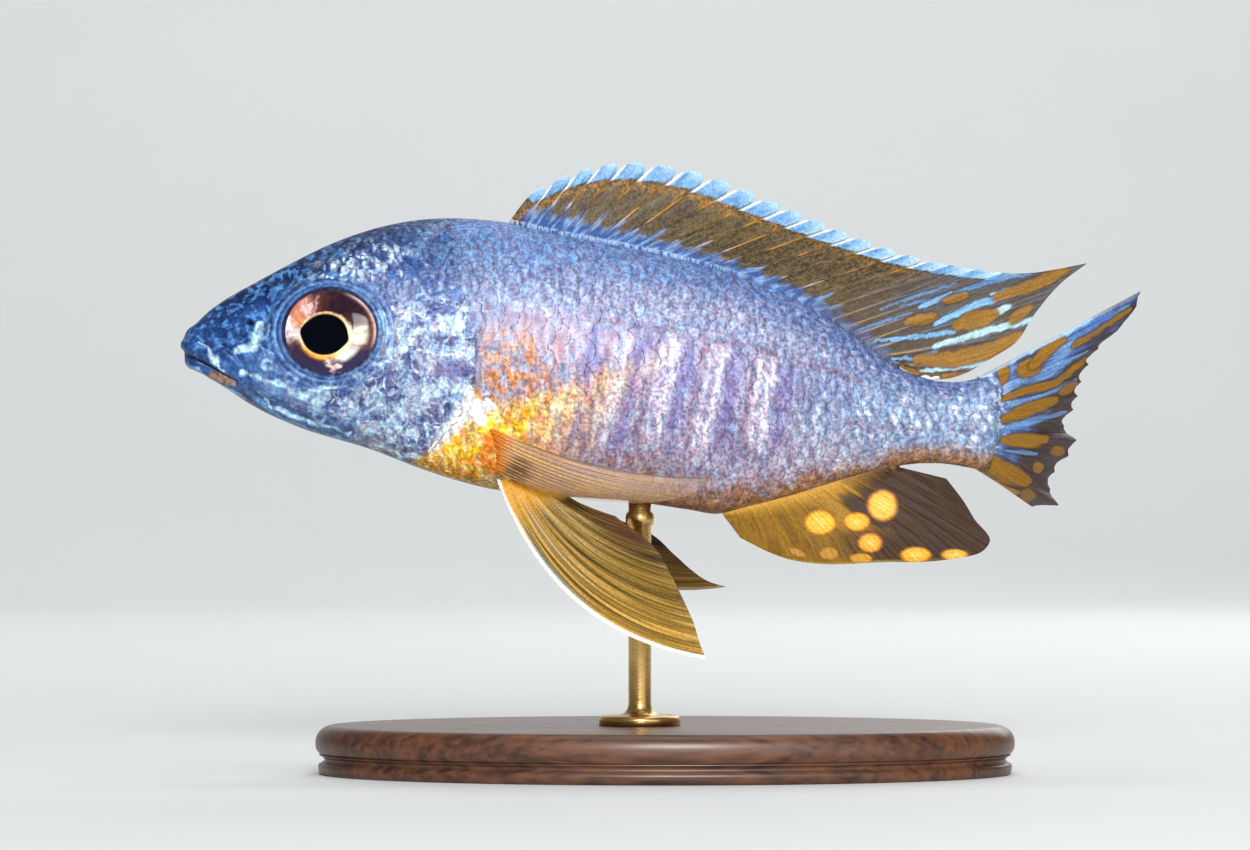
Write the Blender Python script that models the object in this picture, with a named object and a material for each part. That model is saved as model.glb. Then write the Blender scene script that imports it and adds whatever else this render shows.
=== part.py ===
"""A life-size peacock cichlid, a male of about 118 mm, swimming level on a plain display stand.

The fish is drawn in millimetres. A place on it is (s, y, h): s is measured backwards from the tip
of the snout, y sideways with the fish's left at minus, and h upwards from the line of its body.
place() turns such a place into metres: the head points along -X, the back is up, and the origin
lies under the middle of the model, on the surface that the stand rests on.
"""

import math

import bmesh
import bpy
import numpy as np
from mathutils import Matrix, Vector

MM = 0.001
GAP = 0.3  # between pieces that touch, in mm

# Sizes of the whole, in mm
TOTAL_LENGTH = 118.2
BODY_LENGTH = 99.0  # snout to the root of the tail fin
BODY_LINE_HEIGHT = 46.0  # of h = 0 above the surface that the stand rests on

# The back and the belly in side view, as (s, h)
BACK = (
    (0.0, 6.6), (0.9, 8.6), (2.5, 10.7), (4.6, 12.3), (9.2, 14.9), (14.1, 17.5), (19.1, 19.8),
    (24.0, 21.4), (28.9, 22.3), (33.8, 22.5), (39.5, 22.0), (46.1, 20.6), (60.9, 17.6),
    (68.3, 15.5), (75.6, 12.4), (81.8, 8.6), (88.0, 4.1), (92.9, 2.5), (96.6, 2.6), (99.0, 3.3),
)
BELLY = (
    (0.0, 6.3), (0.6, 4.7), (1.9, 3.3), (4.9, 1.3), (9.2, -1.4), (14.1, -3.6), (24.0, -6.7),
    (28.9, -8.6), (38.7, -11.3), (46.1, -12.0), (54.7, -12.6), (62.1, -13.7), (65.6, -14.2),
    (68.9, -13.4), (73.8, -12.2), (81.2, -10.0), (86.7, -8.5), (92.9, -8.0), (99.0, -9.0),
)
# Half of the body's width seen from above, as (s, half width)
HALF_WIDTH = (
    (0.0, 0.1), (0.4, 1.5), (1.5, 2.6), (4.0, 3.7), (9.0, 4.9), (14.0, 5.8), (19.0, 6.4),
    (26.0, 7.1), (38.0, 7.9), (46.0, 7.9), (56.0, 7.2), (68.0, 6.0), (80.0, 4.2), (90.0, 2.7),
    (99.0, 1.3),
)
WIDEST_LEVEL = 0.46  # of the body's depth, from the belly
BACK_NARROWING = 1.16  # powers of the section's cosine: over 1 is more like a roof
BELLY_FULLNESS = 0.92
TAIL_BEND_START = 52.0
TAIL_BEND = 2.2  # sideways, at the root of the tail fin
STALK_END_BOW = 1.1  # the rounded rear edge of the tail stalk

BODY_STATIONS = 54
BODY_SIDES = 36

# The rear edge of the gill cover, carried on to the nape and the throat, as (s, h)
GILL_EDGE = (
    (33.4, 25.0), (33.9, 18.0), (34.7, 13.0), (35.6, 9.5), (36.1, 6.4), (36.0, 3.6), (35.2, 1.0),
    (33.8, -1.8), (32.0, -4.4), (30.0, -6.4), (27.6, -7.9), (25.5, -10.5),
)
GILL_COVER_EDGE = (
    (28.6, -7.3), (27.0, -7.0), (26.2, -5.4), (26.3, -2.6), (26.9, 0.6), (27.2, 3.8), (27.6, 6.8),
    (28.6, 9.4), (30.4, 11.2), (32.8, 12.2), (34.9, 12.1),
)  # its front and upper edge, from the throat upwards
GILL_COVER_THICKNESS = 1.3
GILL_SWELL = 0.8  # how far the cover stands proud of the flank behind it
GILL_SWELL_START = 23.0
GILL_SWELL_FULL = 33.0
GILL_SWELL_TOP = 13.0
GILL_SWELL_BOTTOM = -9.0

# The closed mouth in side view, from the tip to its corner, as (s, h), and the jaw's edge behind it
MOUTH_LINE = ((-1.0, 6.55), (0.4, 5.65), (2.5, 4.3), (4.6, 3.05), (6.8, 1.85))
JAW_EDGE = ((9.5, 0.2), (13.0, -1.5), (16.0, -3.0), (17.8, -4.6), (18.6, -7.5))
LIP_RADIUS = 0.62
LIP_OFFSET = 0.72  # of each lip's middle from the mouth line
LIP_SINK = 0.25
LIP_STATIONS = 19
LIP_SIDES = 7

NOSTRIL = (8.3, 9.5)
NOSTRIL_RADIUS = 0.55

# The eye is a flattened ball turned to face along the cheek's own normal
EYE_CENTRE = (18.2, 8.3)
EYE_LENGTH = 6.1
EYE_HEIGHT = 5.3
EYE_DEPTH = 3.3
EYE_PROUD = 1.15
EYE_TURN_FORWARD = math.radians(8.0)
EYE_TURN_UP = math.radians(6.0)
RIM_PROUD = 0.5  # the ring of skin round the eye, and its distance and width in eye radii
RIM_PLACE = 1.1
RIM_WIDTH = 0.16

TAIL_STALK_START = 88.8

# Fins: places of the rays, counted from the front or the top. Each margin is (ray, s, h).
MEMBRANE = 0.5
RAY_RIDGE = 0.46
SPINE_RIDGE = 0.55
FIN_EDGE = 0.4
ROOT_THICKNESS = 1.3
FIN_ROOT_DEPTH = 1.8  # how far a fin's root reaches into the body before it is cut back

DORSAL_SPINES = 17
DORSAL_RAYS = 26
DORSAL_BASE = ((0, 40.0), (4, 46.9), (8, 55.6), (12, 65.8), (16, 76.4), (18, 79.8), (25, 88.0))
DORSAL_CREST = (
    (0, 42.3, 25.3), (1.3, 46.2, 27.3), (4.3, 55.2, 29.3), (6.3, 62.5, 28.2), (9.3, 72.1, 24.5),
    (12.3, 80.6, 20.9), (16.3, 92.4, 17.0), (18, 97.6, 16.1), (20, 105.4, 15.8), (21, 111.3, 16.9),
)
DORSAL_REAR = (
    (21, 111.3, 16.9), (22, 107.7, 14.1), (23, 104.6, 10.4), (24, 102.4, 7.1), (25, 98.6, 4.8),
)
LAPPET_NOTCH = 1.5  # depth of the notch in front of each lappet
LAPPET_FADE = 0.45  # share of that depth left at the last spine

ANAL_SPINES = 3
ANAL_RAYS = 13
ANAL_BASE = ((0, 66.2), (2, 69.6), (6, 76.6), (12, 88.0))
ANAL_MARGIN = (
    (0, 68.4, -17.0), (1, 72.2, -18.9), (3, 78.3, -20.2), (5, 85.7, -20.0), (7, 93.7, -19.7),
    (8, 98.0, -18.8), (8.6, 99.1, -17.6), (10, 97.2, -14.6), (11, 95.8, -12.3), (12, 93.8, -9.7),
)

TAIL_RAYS = 15
TAIL_ROOT_TOP = (98.2, 2.9)
TAIL_ROOT_BOTTOM = (97.2, -8.7)
TAIL_MARGIN = (
    (0, 118.2, 13.5), (1, 117.3, 11.0), (2, 115.4, 8.6), (3, 113.2, 6.4), (4, 111.9, 4.4),
    (5, 111.1, 2.3), (7, 110.3, -1.2), (8, 109.2, -3.2), (9, 110.9, -5.0), (10, 109.7, -7.0),
    (11, 108.1, -9.0), (12, 107.6, -11.2), (13, 108.6, -13.2), (14, 105.4, -13.4),
)
TAIL_SWING = ((0, 5.5), (4, 9.0), (8, 12.0), (14, 14.0))  # sideways reach of each ray's tip
TAIL_FACING = (-0.57, 0.82, 0.0)

PECTORAL_RAYS = 13
PECTORAL_ROOT_TOP = (38.2, -3.6)
PECTORAL_ROOT_BOTTOM = (38.9, -8.6)
PECTORAL_MARGIN = (
    (0, 64.1, -9.5), (1, 64.0, -10.2), (3, 62.0, -11.6), (6, 57.4, -12.5), (9, 51.0, -12.4),
    (12, 44.8, -11.4),
)
PECTORAL_SAG = 1.5
PECTORAL_SPREAD = 4.2  # of the tip, outwards from the root

PELVIC_RAYS = 6  # the first stands for the spine and the long ray that lies against it
PELVIC_ROOT_FRONT = (38.9, 3.0)  # as (s, distance from the middle plane)
PELVIC_ROOT_REAR = (42.4, 2.2)
PELVIC_SAG = 4.7
# Tips of the pelvic rays as (ray, s, distance out, h): the left fin hangs open, and the right one
# trails further out
LEFT_PELVIC_TIPS = (
    (0, 64.1, 9.4, -31.6), (1, 63.3, 9.2, -29.8), (2, 62.0, 8.8, -26.8), (3, 59.2, 8.2, -22.8),
    (4, 56.0, 7.0, -18.8), (5, 51.0, 5.4, -15.0),
)
RIGHT_PELVIC_TIPS = (
    (0, 66.9, 14.8, -23.4), (1, 64.4, 14.2, -22.6), (2, 62.4, 13.4, -21.2), (3, 60.2, 12.4, -19.2),
    (4, 57.4, 11.0, -16.7), (5, 52.6, 8.4, -14.4),
)

# The display stand
PLINTH_LENGTH = 86.0
PLINTH_WIDTH = 50.0
PLINTH_HEIGHT = 6.0
PLINTH_BEVEL = 1.2
PLINTH_SIDES = 40
ROD_PLACE = 56.0  # its s, under the belly between the pelvic fins
ROD_RADIUS = 1.4
FLANGE_RADIUS = 5.0
FLANGE_HEIGHT = 1.2
ROD_SIDES = 18


def clear_scene():
    """Removes what the startup file holds."""
    for obj in list(bpy.data.objects):
        bpy.data.objects.remove(obj, do_unlink=True)


def place(s, y, h):
    """A place on the fish, in mm, as a point in metres."""
    return Vector(((s - TOTAL_LENGTH / 2) * MM, y * MM, (BODY_LINE_HEIGHT + h) * MM))


def smooth_through(points, stretch=1.0):
    """A smooth curve through (x, value, ...) points, as a function of x that gives an array.

    It is a cubic between neighbours, with each slope that of the chord over both neighbours.
    stretch is a power put on x first: 0.5 lets a profile start upright, as a blunt nose does.
    """
    table = np.array(points, float)
    knots = np.maximum(table[:, 0], 0.0) ** stretch
    values = table[:, 1:]
    slopes = np.gradient(values, knots, axis=0)

    def at(x):
        t = np.clip(max(x, 0.0) ** stretch, knots[0], knots[-1])
        i = int(np.clip(np.searchsorted(knots, t) - 1, 0, len(knots) - 2))
        span = knots[i + 1] - knots[i]
        f = (t - knots[i]) / span
        return (
            values[i] * (1 + 2 * f) * (1 - f) ** 2
            + values[i + 1] * f * f * (3 - 2 * f)
            + span * (slopes[i] * f * (1 - f) ** 2 - slopes[i + 1] * f * f * (1 - f))
        )

    return at


back_curve = smooth_through(BACK, 0.5)
belly_curve = smooth_through(BELLY, 0.5)
width_curve = smooth_through(HALF_WIDTH, 0.5)


def ease(x, start, end):
    """0 before start, 1 after end, and a smooth rise between them."""
    f = min(max((x - start) / (end - start), 0.0), 1.0)
    return f * f * (3 - 2 * f)


def bend(s):
    """How far the body's middle plane lies to the right at s, as the tail swings."""
    f = max(s - TAIL_BEND_START, 0.0) / (BODY_LENGTH - TAIL_BEND_START)
    return TAIL_BEND * (f * f if f < 1 else 2 * f - 1)


def section(s):
    """(top, widest level, bottom, half width) of the body at s."""
    top, bottom = float(back_curve(s)[0]), float(belly_curve(s)[0])
    return top, bottom + WIDEST_LEVEL * (top - bottom), bottom, float(width_curve(s)[0])


def gill_swell(s, h):
    """How much further out the gill cover stands than the flank would."""
    along = ease(s, GILL_SWELL_START, GILL_SWELL_FULL)
    upwards = ease(h, GILL_SWELL_BOTTOM, GILL_SWELL_BOTTOM + 4)
    down = 1 - ease(h, GILL_SWELL_TOP - 4, GILL_SWELL_TOP)
    return GILL_SWELL * along * upwards * down


def eye_rim(s, h):
    """How far the ring of skin round the eye stands out at (s, h)."""
    across, up = (s - EYE_CENTRE[0]) / EYE_LENGTH, (h - EYE_CENTRE[1]) / EYE_HEIGHT
    return RIM_PROUD * math.exp(-(((math.hypot(across, up) - RIM_PLACE) / RIM_WIDTH) ** 2))


def flank(s, h, swollen=False):
    """The distance of the body's surface from its middle plane at (s, h)."""
    top, level, bottom, half = section(s)
    reach, power = (top - level, BACK_NARROWING) if h > level else (level - bottom, BELLY_FULLNESS)
    rise = min(abs(h - level) / max(reach, 1e-6), 1.0)
    out = half * math.sqrt(1 - rise * rise) ** power
    return out + (gill_swell(s, h) + eye_rim(s, h) if swollen else 0.0)


def ring(s, swollen):
    """The places round the body at s, from its right side over the back to the left and under."""
    top, level, bottom, half = section(s)
    found = []
    for i in range(BODY_SIDES):
        angle = 2 * math.pi * i / BODY_SIDES
        up = math.sin(angle)
        reach, power = (top - level, BACK_NARROWING) if up > 0 else (level - bottom, BELLY_FULLNESS)
        h = level + reach * up
        out = half * abs(math.cos(angle)) ** power
        if swollen:
            out += (gill_swell(s, h) + eye_rim(s, h)) * min(1.0, 3 * abs(math.cos(angle)))
        side = math.copysign(1.0, math.cos(angle)) if abs(math.cos(angle)) > 1e-9 else 0.0
        bow = STALK_END_BOW * (1 - up * up) * ease(s, BODY_LENGTH - 8, BODY_LENGTH)
        found.append(place(s + bow, bend(s) + side * out, h))
    return found


def body_solid(name, swollen=False, grown=0.0):
    """The whole head, trunk and tail stalk as one loft of rings, grown outwards by that many mm."""
    mesh = bmesh.new()
    # Stations lie closer at the snout, as the square of their number
    steps = np.linspace(0.035, 1.0, BODY_STATIONS)
    stations = BODY_LENGTH * (0.45 * steps**2 + 0.55 * steps ** 2.0 * (1.5 - 0.5 * steps))
    loops = [[mesh.verts.new(p) for p in ring(s, swollen)] for s in stations]
    for before, after in zip(loops, loops[1:]):
        for i in range(BODY_SIDES):
            j = (i + 1) % BODY_SIDES
            mesh.faces.new((before[i], before[j], after[j], after[i]))
    tip = mesh.verts.new(place(0.0, 0.0, float(back_curve(0.0)[0]) - 0.15))
    for i in range(BODY_SIDES):
        mesh.faces.new((loops[0][(i + 1) % BODY_SIDES], loops[0][i], tip))
    mesh.faces.new(loops[-1])
    bmesh.ops.recalc_face_normals(mesh, faces=mesh.faces)
    bmesh.ops.triangulate(mesh, faces=mesh.faces)
    if grown:
        mesh.normal_update()
        for vert, moved in [(v, v.co + v.normal * grown * MM) for v in mesh.verts]:
            vert.co = moved
    return object_of(name, mesh)


def object_of(name, mesh):
    """A new object that holds a bmesh, in the scene."""
    data = bpy.data.meshes.new(name)
    mesh.to_mesh(data)
    mesh.free()
    obj = bpy.data.objects.new(name, data)
    bpy.context.scene.collection.objects.link(obj)
    return obj


def helper(obj):
    """Marks an object as a cutter, which is no piece of the model."""
    obj.hide_render = True
    obj.display_type = "WIRE"
    return obj


def copy_of(obj, name):
    """A copy of an object with its own mesh."""
    made = bpy.data.objects.new(name, obj.data.copy())
    bpy.context.scene.collection.objects.link(made)
    return made


def boolean(obj, operation, other):
    """Adds a Boolean of obj with one other object."""
    cut = obj.modifiers.new(operation.lower(), "BOOLEAN")
    cut.operation = operation
    cut.solver = "EXACT"
    cut.object = other


def settle(obj):
    """Applies the object's modifiers and keeps only its largest closed surface."""
    graph = bpy.context.evaluated_depsgraph_get()
    data = bpy.data.meshes.new_from_object(obj.evaluated_get(graph))
    obj.modifiers.clear()
    mesh = bmesh.new()
    mesh.from_mesh(data)
    bmesh.ops.triangulate(mesh, faces=mesh.faces)
    mesh.verts.ensure_lookup_table()
    seen, islands = set(), []
    for start in mesh.verts:
        if start in seen:
            continue
        island, queue = set(), [start]
        seen.add(start)
        while queue:
            vert = queue.pop()
            island.add(vert)
            for edge in vert.link_edges:
                other = edge.other_vert(vert)
                if other not in seen:
                    seen.add(other)
                    queue.append(other)
        islands.append(island)
    if len(islands) > 1:
        largest = max(islands, key=island_volume)
        loose = [v for v in mesh.verts if v not in largest]
        bmesh.ops.delete(mesh, geom=loose, context="VERTS")
    mesh.to_mesh(data)
    mesh.free()
    obj.data = data


def island_volume(verts):
    """The volume inside a set of vertices and the triangles between them."""
    faces = {face for vert in verts for face in vert.link_faces}
    return abs(sum(f.verts[0].co.dot(f.verts[1].co.cross(f.verts[2].co)) for f in faces)) / 6


def prism(name, outline, y_from, y_to):
    """A solid with an (s, h) outline, between two distances from the middle plane."""
    mesh = bmesh.new()
    face = mesh.faces.new([mesh.verts.new(place(s, y_from, h)) for s, h in outline])
    pushed = bmesh.ops.extrude_face_region(mesh, geom=[face])["geom"]
    moved = [v for v in pushed if isinstance(v, bmesh.types.BMVert)]
    bmesh.ops.translate(mesh, verts=moved, vec=Vector((0, (y_to - y_from) * MM, 0)))
    bmesh.ops.recalc_face_normals(mesh, faces=mesh.faces)
    return helper(object_of(name, mesh))


def shifted(outline, ds, dh):
    """An outline moved by (ds, dh)."""
    return [(s + ds, h + dh) for s, h in outline]


def union_of(obj, pieces):
    """Joins closed mesh objects to obj with one Boolean on their collection, which is applied."""
    group = bpy.data.collections.new(obj.name + "_pieces")
    bpy.context.scene.collection.children.link(group)
    for piece in pieces:
        bpy.context.scene.collection.objects.unlink(piece)
        group.objects.link(piece)
    join = obj.modifiers.new("union", "BOOLEAN")
    join.operation = "UNION"
    join.solver = "EXACT"
    join.operand_type = "COLLECTION"
    join.collection = group
    settle(obj)
    for piece in pieces:
        bpy.data.objects.remove(piece, do_unlink=True)
    bpy.data.collections.remove(group)


def lip(name, rise):
    """A lip: a tube that follows the mouth line round the snout, from one corner to the other."""
    curve = smooth_through([(i, *p) for i, p in enumerate(MOUTH_LINE[1:])])
    last = len(MOUTH_LINE) - 2
    path = []
    for i in range(LIP_STATIONS):
        t = 2 * i / (LIP_STATIONS - 1) - 1
        s, h = curve(last * abs(t))
        s = max(float(s) + 0.35 * rise, 0.12)
        h = float(h) + rise * LIP_OFFSET * (1 - 0.35 * abs(t) ** 3)
        out = max(flank(s, h) - LIP_SINK, 0.0) * min(1.0, 5 * abs(t))
        path.append(place(s, math.copysign(out, t), h))
    mesh = bmesh.new()
    loops = []
    for i, middle in enumerate(path):
        ahead = path[min(i + 1, len(path) - 1)] - path[max(i - 1, 0)]
        ahead.normalize()
        side = ahead.cross(Vector((0, 0, 1))).normalized()
        up = side.cross(ahead)
        t = abs(2 * i / (LIP_STATIONS - 1) - 1)
        radius = LIP_RADIUS * (1 - 0.45 * t**3) * MM
        turns = [2 * math.pi * k / LIP_SIDES for k in range(LIP_SIDES)]
        points = [middle + (side * math.cos(a) + up * math.sin(a)) * radius for a in turns]
        loops.append([mesh.verts.new(p) for p in points])
    for before, after in zip(loops, loops[1:]):
        for k in range(LIP_SIDES):
            j = (k + 1) % LIP_SIDES
            mesh.faces.new((before[k], before[j], after[j], after[k]))
    mesh.faces.new(loops[0])
    mesh.faces.new(loops[-1])
    bmesh.ops.recalc_face_normals(mesh, faces=mesh.faces)
    bmesh.ops.triangulate(mesh, faces=mesh.faces)
    return object_of(name, mesh)


def ball(name, centre, radii, turn, segments=24, rings=14):
    """An ellipsoid with its poles on its own Y axis, turned by a matrix."""
    mesh = bmesh.new()
    bmesh.ops.create_uvsphere(mesh, u_segments=segments, v_segments=rings, radius=1.0)
    poles = Matrix.Rotation(math.pi / 2, 4, "X")
    size = Matrix.Diagonal((*[r * MM for r in radii], 1.0))
    mesh.transform(Matrix.Translation(centre) @ turn @ size @ poles)
    bmesh.ops.triangulate(mesh, faces=mesh.faces)
    return object_of(name, mesh)


def eye(name, side, grown=0.0):
    """An eyeball on the side given: -1 is the fish's left."""
    s, h = EYE_CENTRE
    out = flank(s, h) + EYE_PROUD - EYE_DEPTH
    forward = Matrix.Rotation(side * EYE_TURN_FORWARD, 4, "Z")
    turn = forward @ Matrix.Rotation(side * EYE_TURN_UP, 4, "X")
    radii = (EYE_LENGTH + grown, EYE_DEPTH + grown, EYE_HEIGHT + grown)
    return ball(name, place(s, side * out, h), radii, turn)


def rounded(points, steps):
    """A smooth line through (s, h) points, with that many steps between neighbours."""
    curve = smooth_through([(i, *p) for i, p in enumerate(points)])
    count = (len(points) - 1) * steps
    return [tuple(curve(i / steps)) for i in range(count + 1)]


def gill_outline():
    """The gill cover's outline in side view: its rear edge downwards, then round its front."""
    rear = [p for p in rounded(GILL_EDGE, 2) if -7.2 < p[1] < 12]
    return [*rear, *rounded(GILL_COVER_EDGE, 2)]


def outwards(outline, distance):
    """A closed outline with each point moved away from the outline's middle by a distance."""
    middle = np.mean(outline, axis=0)
    points = np.array(outline, float) - middle
    reach = np.linalg.norm(points, axis=1, keepdims=True)
    return [tuple(p) for p in middle + points * (1 + distance / reach)]


def make_head(grown_eye_left, grown_eye_right):
    """The head, the lower jaw and the two gill covers, parted by thin cuts."""
    block = body_solid("head", swollen=True)
    union_of(block, [lip("upper_lip", 1.0), lip("lower_lip", -1.0)])

    far = 30.0
    front = [*rounded(GILL_EDGE, 2), (-5.0, -20.0), (-5.0, 30.0)]
    front_prism = prism("front_of_gills", front, -far, far)
    jaw_line = rounded([*MOUTH_LINE, *JAW_EDGE], 2)
    below = [*shifted(jaw_line, -0.1, -GAP / 2), (-5.0, -12.0)]
    jaw_prism = prism("below_jaw_line", below, -far, far)
    grown_below = [*shifted(jaw_line, 0.1, GAP / 2), (-6.0, -13.0)]
    jaw_cutter = prism("jaw_cutter", grown_below, -far, far)

    jaw = copy_of(block, "lower_jaw")
    boolean(jaw, "INTERSECT", jaw_prism)
    settle(jaw)

    boolean(block, "INTERSECT", front_prism)
    boolean(block, "DIFFERENCE", jaw_cutter)
    settle(block)

    inner = helper(body_solid("under_gill_cover", swollen=True, grown=-GILL_COVER_THICKNESS))
    deeper = helper(body_solid("gill_bed", swollen=True, grown=-GILL_COVER_THICKNESS - GAP))
    covers = []
    for label, side in (("left", -1), ("right", 1)):
        plate = prism("gill_plate_" + label, gill_outline(), side * 0.8, side * far)
        bed = prism("gill_bed_" + label, outwards(gill_outline(), GAP), side * 0.5, side * (far + 1))
        cover = copy_of(block, "gill_cover_" + label)
        boolean(cover, "INTERSECT", plate)
        boolean(cover, "DIFFERENCE", inner)
        settle(cover)
        covers.append(cover)
        boolean(bed, "DIFFERENCE", deeper)
        settle(bed)
        boolean(block, "DIFFERENCE", bed)
        s, h = NOSTRIL
        pit = ball("nostril_" + label, place(s, side * flank(s, h), h), [NOSTRIL_RADIUS] * 3,
                   Matrix.Identity(4), segments=10, rings=6)
        boolean(block, "DIFFERENCE", helper(pit))
    boolean(block, "DIFFERENCE", grown_eye_left)
    boolean(block, "DIFFERENCE", grown_eye_right)
    settle(block)
    return [block, jaw, *covers]


def make_trunk_and_stalk():
    """The trunk behind the gill covers, and the tail stalk."""
    far = 30.0
    trunk = body_solid("trunk")
    end = TAIL_STALK_START - GAP
    rear = [*shifted(rounded(GILL_EDGE, 2), GAP, 0.0), (end, -20.0), (end, 25.0)]
    boolean(trunk, "INTERSECT", prism("trunk_region", rear, -far, far))
    settle(trunk)
    stalk = body_solid("tail_stalk")
    behind = [(TAIL_STALK_START, 25.0), (TAIL_STALK_START, -20.0), (110.0, -20.0), (110.0, 25.0)]
    boolean(stalk, "INTERSECT", prism("stalk_region", behind, -far, far))
    settle(stalk)
    return [trunk, stalk]


def fin_columns(rays, spines=0, lappets=False):
    """The fin's grid columns as (place in rays, 1 on a ray and 0 on the membrane)."""
    found = []
    for ray in range(rays):
        found.append((float(ray), 1.0))
        if ray == rays - 1:
            break
        if lappets and ray < spines:
            found += [(ray + 0.14, 0.25), (ray + 0.5, 0.0), (ray + 0.88, 0.0)]
        else:
            found.append((ray + 0.5, 0.0))
    return found


def fin_solid(name, surface, columns, rows, inward, facing=(0.0, 1.0, 0.0), slant=1.0, spines=0):
    """A closed fin on a grid over surface(u, v): u counts rays, and v runs from root to margin.

    A first row of grid points lies behind the root, moved inward by FIN_ROOT_DEPTH.

    Its thickness is the membrane's, more at the root and on each ray or spine, and thin at the
    margin. It is laid off along one direction, facing, times slant for a fin that leans from it,
    so the two faces never meet. Both faces are split into the same triangles.
    """
    mesh = bmesh.new()
    out = Vector(facing).normalized()
    behind = Vector(inward).normalized() * FIN_ROOT_DEPTH * MM
    near, far = [], []
    for u, ridge in columns:
        near.append([])
        far.append([])
        for v in [-1.0, *rows]:
            strength = SPINE_RIDGE if u < spines else RAY_RIDGE
            fade = ease(v, -0.1, 0.3) * (1 - 0.45 * max(v, 0.0))
            body = MEMBRANE + ridge * strength * fade
            root = (ROOT_THICKNESS - MEMBRANE) * (1 - ease(v, -0.02, 0.22))
            thin = (body - FIN_EDGE) * ease(v, 0.86, 1.0)
            half = (body + root - thin) / 2 * slant * MM
            middle = surface(u, max(v, 0.0)) + behind * max(-v, 0.0)
            near[-1].append(mesh.verts.new(middle + out * half))
            far[-1].append(mesh.verts.new(middle - out * half))
    wide, tall = len(columns) - 1, len(rows)
    for i in range(wide):
        for j in range(tall):
            for face, turn in ((near, 1), (far, -1)):
                a, b, c, d = face[i][j], face[i + 1][j], face[i + 1][j + 1], face[i][j + 1]
                for corners in ((a, b, c), (a, c, d)):
                    mesh.faces.new(corners[::turn])
    rim = [(i, 0) for i in range(wide)] + [(wide, j) for j in range(tall)]
    rim += [(i, tall) for i in range(wide, 0, -1)] + [(0, j) for j in range(tall, 0, -1)]
    for (i, j), (k, m) in zip(rim, rim[1:] + rim[:1]):
        mesh.faces.new((near[k][m], near[i][j], far[k][m]))
        mesh.faces.new((near[i][j], far[i][j], far[k][m]))
    bmesh.ops.recalc_face_normals(mesh, faces=mesh.faces)
    return object_of(name, mesh)


def bowed(point, start, end, depth):
    """A place in side view moved across the line from start to end: by depth at its middle."""
    line = np.array(end, float) - np.array(start, float)
    length = np.linalg.norm(line)
    part = np.clip((point - np.array(start)) @ line / length**2, 0.0, 1.0)
    return point + np.array((line[1], -line[0])) / length * depth * 4 * part * (1 - part)


def unbowed(point, start, end, depth):
    """The place that bowed() moves to the given point."""
    found = np.array(point, float)
    for _ in range(5):
        found = found + point - bowed(found, start, end, depth)
    return found


def notch(u):
    """How deep the dorsal margin is notched at u: a notch in front of each lappet, none behind."""
    if u >= DORSAL_SPINES:
        return 0.0
    part = u - math.floor(u)
    lobe = min(part / 0.13, 1.0) * (1 - 0.3 * abs(part - 0.3) / 0.5) * (1 - ease(part, 0.8, 1.0))
    return (1 - lobe) * LAPPET_NOTCH * (1 - (1 - LAPPET_FADE) * u / DORSAL_SPINES)


def make_dorsal_fin():
    """The fin along the back: spines with lappets between them, then a pointed soft part."""
    base = smooth_through(DORSAL_BASE)
    crest = smooth_through(DORSAL_CREST)
    rear = smooth_through(DORSAL_REAR)
    tip_ray = DORSAL_REAR[0][0]

    def surface(u, v):
        s = float(base(u)[0])
        root = np.array((s, float(back_curve(s)[0])))
        margin = np.array(crest(u) if u <= tip_ray else rear(u))
        ray = margin - root
        margin = margin - ray / np.linalg.norm(ray) * notch(u)
        s, h = root + (margin - root) * v
        return place(s, bend(s) + 0.7 * v * math.sin(u * 0.42), h)

    rows = [0.04, 0.26, 0.56, 0.84, 1.0]
    columns = fin_columns(DORSAL_RAYS, DORSAL_SPINES, lappets=True)
    return fin_solid("dorsal_fin", surface, columns, rows, (0, 0, -1), spines=DORSAL_SPINES)


def make_anal_fin():
    """The fin under the tail: three spines, then soft rays to a rounded point."""
    base = smooth_through(ANAL_BASE)
    margin = smooth_through(ANAL_MARGIN)

    def surface(u, v):
        s = float(base(u)[0])
        root = np.array((s, float(belly_curve(s)[0])))
        s, h = root + (np.array(margin(u)) - root) * v
        return place(s, bend(s) + 0.6 * v * math.sin(u * 0.5 + 0.8), h)

    rows = [0.06, 0.28, 0.55, 0.8, 1.0]
    columns = fin_columns(ANAL_RAYS)
    return fin_solid("anal_fin", surface, columns, rows, (0, 0, 1), spines=ANAL_SPINES)


def make_tail_fin():
    """The tail fin, swung to the fish's right, with its lower lobe trailing further."""
    margin = smooth_through(TAIL_MARGIN)
    swing = smooth_through(TAIL_SWING)

    def surface(u, v):
        f = u / (TAIL_RAYS - 1)
        root = np.array(TAIL_ROOT_TOP) * (1 - f) + np.array(TAIL_ROOT_BOTTOM) * f
        root[0] += STALK_END_BOW * 4 * f * (1 - f)
        s, h = root + (np.array(margin(u)) - root) * v
        side = bend(root[0]) + float(swing(u)[0]) * (0.55 * v + 0.45 * v * v)
        return place(s, side, h)

    rows = [0.05, 0.25, 0.5, 0.75, 1.0]
    columns = fin_columns(TAIL_RAYS)
    return fin_solid("tail_fin", surface, columns, rows, (-1, 0, 0), TAIL_FACING, 1.03)


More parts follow.
